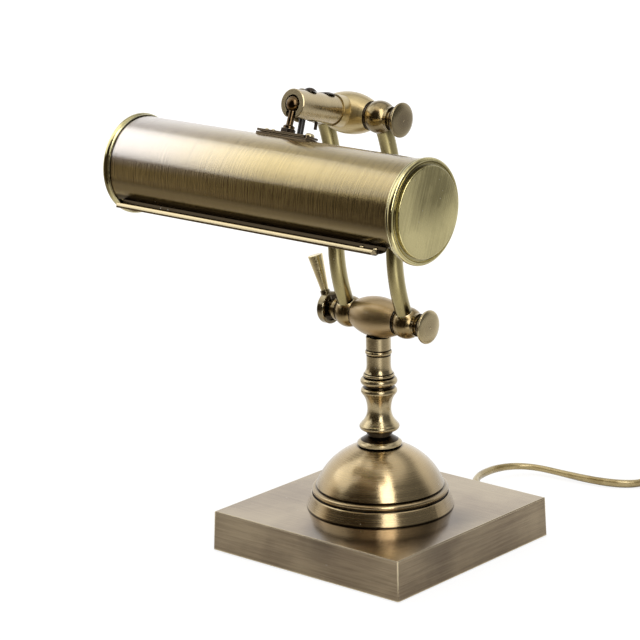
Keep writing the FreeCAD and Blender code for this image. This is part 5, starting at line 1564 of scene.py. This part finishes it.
@dataclass
class ClampKnob:
    """Thin-faced round nut on a narrow neck, with a turning mark at its middle."""

    reach: float = 41.7
    seat: float = 35.9
    radius: float = 10.65

    def profile(self) -> Outline:
        """The outline of the knob.

        Returns:
            Radius and distance along the swivel's axis.
        """
        neck = [(3.2, self.seat), (7.8, self.seat), (8.1, self.seat + 0.3),
                (8.1, self.seat + 1.9), (8.6, self.seat + 2.7)]
        back = arc_points((self.radius - 1.0, self.reach - 1.75), 1.0, -80, 55, 7)
        face = [(self.radius - 1.3, self.reach - 0.62), (8.2, self.reach - 0.32),
                (5.4, self.reach - 0.1), (2.4, self.reach), (0.7, self.reach),
                (0.45, self.reach - 0.35), (0, self.reach - 0.4)]
        return neck + back + face + [(0, self.seat + 2.4), (3.2, self.seat + 2.3)]

    def build(self, name: str, axis_at: Vector, side: int, body: str, finish: str,
              node: str) -> None:
        """Turns one knob and puts it on its end of a swivel.

        Args:
            name: The piece's name.
            axis_at: A point on the swivel's axis, in metres.
            side: 1 for the right end, -1 for the left.
            body: The CAD body that it moves with.
            finish: The name of its finish.
            node: The CAD node that it replaces.
        """
        knob = turned_piece(name, self.profile(), 72, axis_at / MM, (side, 0, 0))
        settle(knob, body, finish, smooth=40)
        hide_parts(node)


@dataclass
class Swivels:
    """Both swivels with their balls, washers, knobs and the clamp lever."""

    knob: ClampKnob = field(default_factory=ClampKnob)

    def build(self) -> None:
        """Turns the knobs and dresses the rest."""
        self.knob.build("knob_lower_right", LOWER_AXIS, 1, "stand", "knob_lower", "lower_knob")
        for name, side in (("knob_upper_right", 1), ("knob_upper_left", -1)):
            self.knob.build(name, UPPER_AXIS, side, "arms", "knob_upper", "upper_knobs")
        FINISHES.dress("barrel_lower", "lower_barrel")
        FINISHES.dress("ball_lower", "lower_ball_left", "lower_ball_right")
        FINISHES.dress("barrel_upper", "upper_barrel")
        FINISHES.dress("ball_upper", "upper_ball_left", "upper_ball_right")
        FINISHES.dress("dark_bronze_metal", "lower_washers", "upper_washers")
        FINISHES.dress("steel_plain", "lower_axle", "upper_axle")
        FINISHES.dress("lever_hub_brass", "lever_hub")
        FINISHES.dress("lever_metal", "lever_handle")
        FINISHES.dress("arm_tube", "arm_left", "arm_right")


@dataclass
class Holder:
    """Bar, screws, small ball and the bracket on the shade."""

    lean: Point = (0, 0.3665, 0.9304)
    plate_top: float = 32.3
    rivet_x: tuple[float, ...] = (-14.5, -9.5)
    rivet_across: float = -2.2
    rivet: tuple[tuple[float, float], ...] = (
        (0, -0.6), (1.05, -0.6), (1.25, 0.05), (1.2, 0.35), (0.95, 0.68), (0.55, 0.88), (0, 0.95))

    def build_rivet(self, name: str, x: float) -> None:
        """Turns a round-headed rivet and sets it in the bracket's plate.

        Args:
            name: The piece's name.
            x: Its place along the plate, in millimetres.
        """
        lean = Vector(self.lean)
        across = Vector((0, lean.z, -lean.y))
        at = SHADE_AXIS / MM + lean * self.plate_top + across * self.rivet_across
        rivet = turned_piece(name, self.rivet, 32, (x, at.y, at.z), self.lean)
        settle(rivet, "shade", "screw_brass", smooth=60)

    def build(self) -> None:
        """Rivets the bracket's plate and dresses the rest."""
        for number, x in enumerate(self.rivet_x, 1):
            self.build_rivet(f"plate_rivet_{number}", x)
        FINISHES.dress("bar_turned", "shade_bar")
        FINISHES.dress("dark_bronze_metal", "bar_screws", "grub_screw", "ball_seat", "stud_nuts")
        FINISHES.dress("ball_polished", "ball_stud")
        FINISHES.dress("plate_bronze", "bracket_plate", "bracket_saddle")
        FINISHES.dress("screw_brass", "bracket_screw")
        FINISHES.dress("lead_sleeve", "shade_lead")


@dataclass
class FrontLip:
    """Folded strip along the shade's front edge: leaf, gutter, ridge and sloping hem."""

    half: float = 104.0
    corner: tuple[float, float] = (-118.5, 232.5)
    cuts: tuple[tuple[int, Point], ...] = ((1, (0.82, -0.57, 0.0)), (-1, (-0.97, -0.22, 0.0)))

    def section(self) -> Outline:
        """The fold: its upper side forwards, and its lower side back.

        Returns:
            Y and Z of the strip's outline.
        """
        upper = [(-116.0, 239.6), (-117.4, 234.2), (-118.6, 232.3), (-120.8, 231.4),
                 (-122.6, 231.7), (-123.5, 232.8), (-124.0, 233.3), (-124.5, 233.15),
                 (-124.9, 232.6), (-125.3, 231.7), (-125.6, 230.9)]
        lower = [(-125.5, 230.5), (-125.1, 230.35), (-124.3, 230.7), (-122.8, 230.8),
                 (-120.6, 230.6), (-118.2, 231.4), (-116.8, 233.7), (-115.4, 239.3)]
        return upper + lower

    def build(self) -> None:
        """Draws the strip and cuts each end on its slant."""
        lip = drawn_piece("shade_lip", self.section(), self.half)
        bpy.ops.object.mode_set(mode="EDIT")
        for side, slant in self.cuts:
            bpy.ops.mesh.select_all(action="SELECT")
            bpy.ops.mesh.bisect(plane_co=Vector((side * self.half, *self.corner)) * MM,
                                plane_no=slant, use_fill=True, clear_outer=True)
        face_outwards()
        settle(lip, "shade", "lip_brass", smooth=50)
        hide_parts("front_lip")


@dataclass
class EndCap:
    """Spun end cap: tongue, rim bead, inner bead, deep groove and rolled face."""

    def profile(self) -> Outline:
        """The outline from the tongue out to the face's middle.

        Returns:
            Radius and distance along the shade's axis.
        """
        tongue = [(0, 111.9), (26.4, 111.9), (27.0, 110.9), (27.1, 105.6), (28.65, 105.6),
                  (28.7, 112.0), (29.7, 112.0), (29.75, 109.0), (30.05, 108.8)]
        collar = [(30.45, 108.95), (30.6, 109.35), (30.55, 109.75), (30.3, 109.95)]
        rim = [(30.5, 110.15), (30.85, 110.6), (31.1, 111.2), (31.2, 111.9)] + arc_points(
            (29.7, 112.35), 1.5, -10, 96, 10)
        groove = [(29.2, 113.75), (28.9, 113.3), (28.4, 112.95), (27.7, 112.95),
                  (27.15, 113.2)]
        roll = [(26.95, 114.0), (26.9, 115.0)] + arc_points((26.25, 115.15), 0.72, 8, 88, 6)
        middle = [(23.0, 115.86), (16.0, 115.8), (8.0, 115.74), (0, 115.72)]
        return tongue + collar + rim + groove + roll + middle

    def build(self, name: str, side: int, node: str) -> None:
        """Turns one cap and puts it on its end of the shade.

        Args:
            name: The piece's name.
            side: 1 for the right end, -1 for the left.
            node: The CAD node that it replaces.
        """
        cap = turned_piece(name, self.profile(), 128, SHADE_AXIS / MM, (side, 0, 0))
        settle(cap, "shade", "cap_face", smooth=38)
        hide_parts(node)


@dataclass
class Shade:
    """Brushed shade, end caps, lip, lampholder and bulb."""

    lip: FrontLip = field(default_factory=FrontLip)
    cap: EndCap = field(default_factory=EndCap)

    def build(self) -> None:
        """Folds the lip, turns the caps and dresses the rest."""
        FINISHES.dress("shade_brushed", "shade_tube")
        FINISHES.dress("screw_brass", "lip_rivets")
        self.lip.build()
        self.cap.build("end_cap_right", 1, "cap_right")
        self.cap.build("end_cap_left", -1, "cap_left")
        FINISHES.dress("steel_plain", "lampholder_bracket")
        FINISHES.dress("holder_plastic", "lampholder")
        FINISHES.dress("bulb_shell_metal", "bulb_cap")
        FINISHES.dress("opal_coating", "bulb_glass")
        FINISHES.dress("cord_pvc", "lamp_lead")


@dataclass
class Fittings:
    """In-line switch and plug, with a ribbed sleeve wherever the cord goes in."""

    cord: MainsCord
    switch_end: float = 29.2
    switch_sleeve: RibbedSleeve = field(default_factory=lambda: RibbedSleeve(
        7.6, 4.1, 3.3, 3, proud=0.45))
    plug_at: Point = (172.5, 131.6, 6.0)
    plug_sleeve: RibbedSleeve = field(default_factory=lambda: RibbedSleeve(
        11.0, 4.6, 3.3, 4, proud=0.5))

    def build(self) -> None:
        """Slides the sleeves on and dresses the rest."""
        for name, side in (("switch_sleeve_in", -1), ("switch_sleeve_out", 1)):
            at = self.cord.along_switch(side * self.switch_end, self.cord.switch_height)
            far = self.cord.along_switch(side * 2 * self.switch_end, self.cord.switch_height)
            self.switch_sleeve.build(name, at, Vector(far) - Vector(at), "mould_gold",
                                     "gold_plastic")
        self.plug_sleeve.build("plug_sleeve", self.plug_at, (0, 1, 0), "mould_gold",
                               "gold_plastic")
        FINISHES.dress("mould_gold", "switch_upper", "switch_lower", "plug_body")
        FINISHES.dress("rocker_dark", "switch_rocker")
        FINISHES.dress("plug_blade_metal", "plug_blades")


def main() -> None:
    """Builds the studio and the finishes, then the lamp part by part."""
    logging.basicConfig(level=logging.INFO, format="%(message)s")
    Studio().build()
    EFFECTS.build()
    FINISHES.build()
    cord = MainsCord()
    for assembly in (Base(), Stem(), Swivels(), Holder(), Shade(), Fittings(cord), cord):
        assembly.build()
        LOG.info("%s done", type(assembly).__name__)


if __name__ == "__main__":
    main()
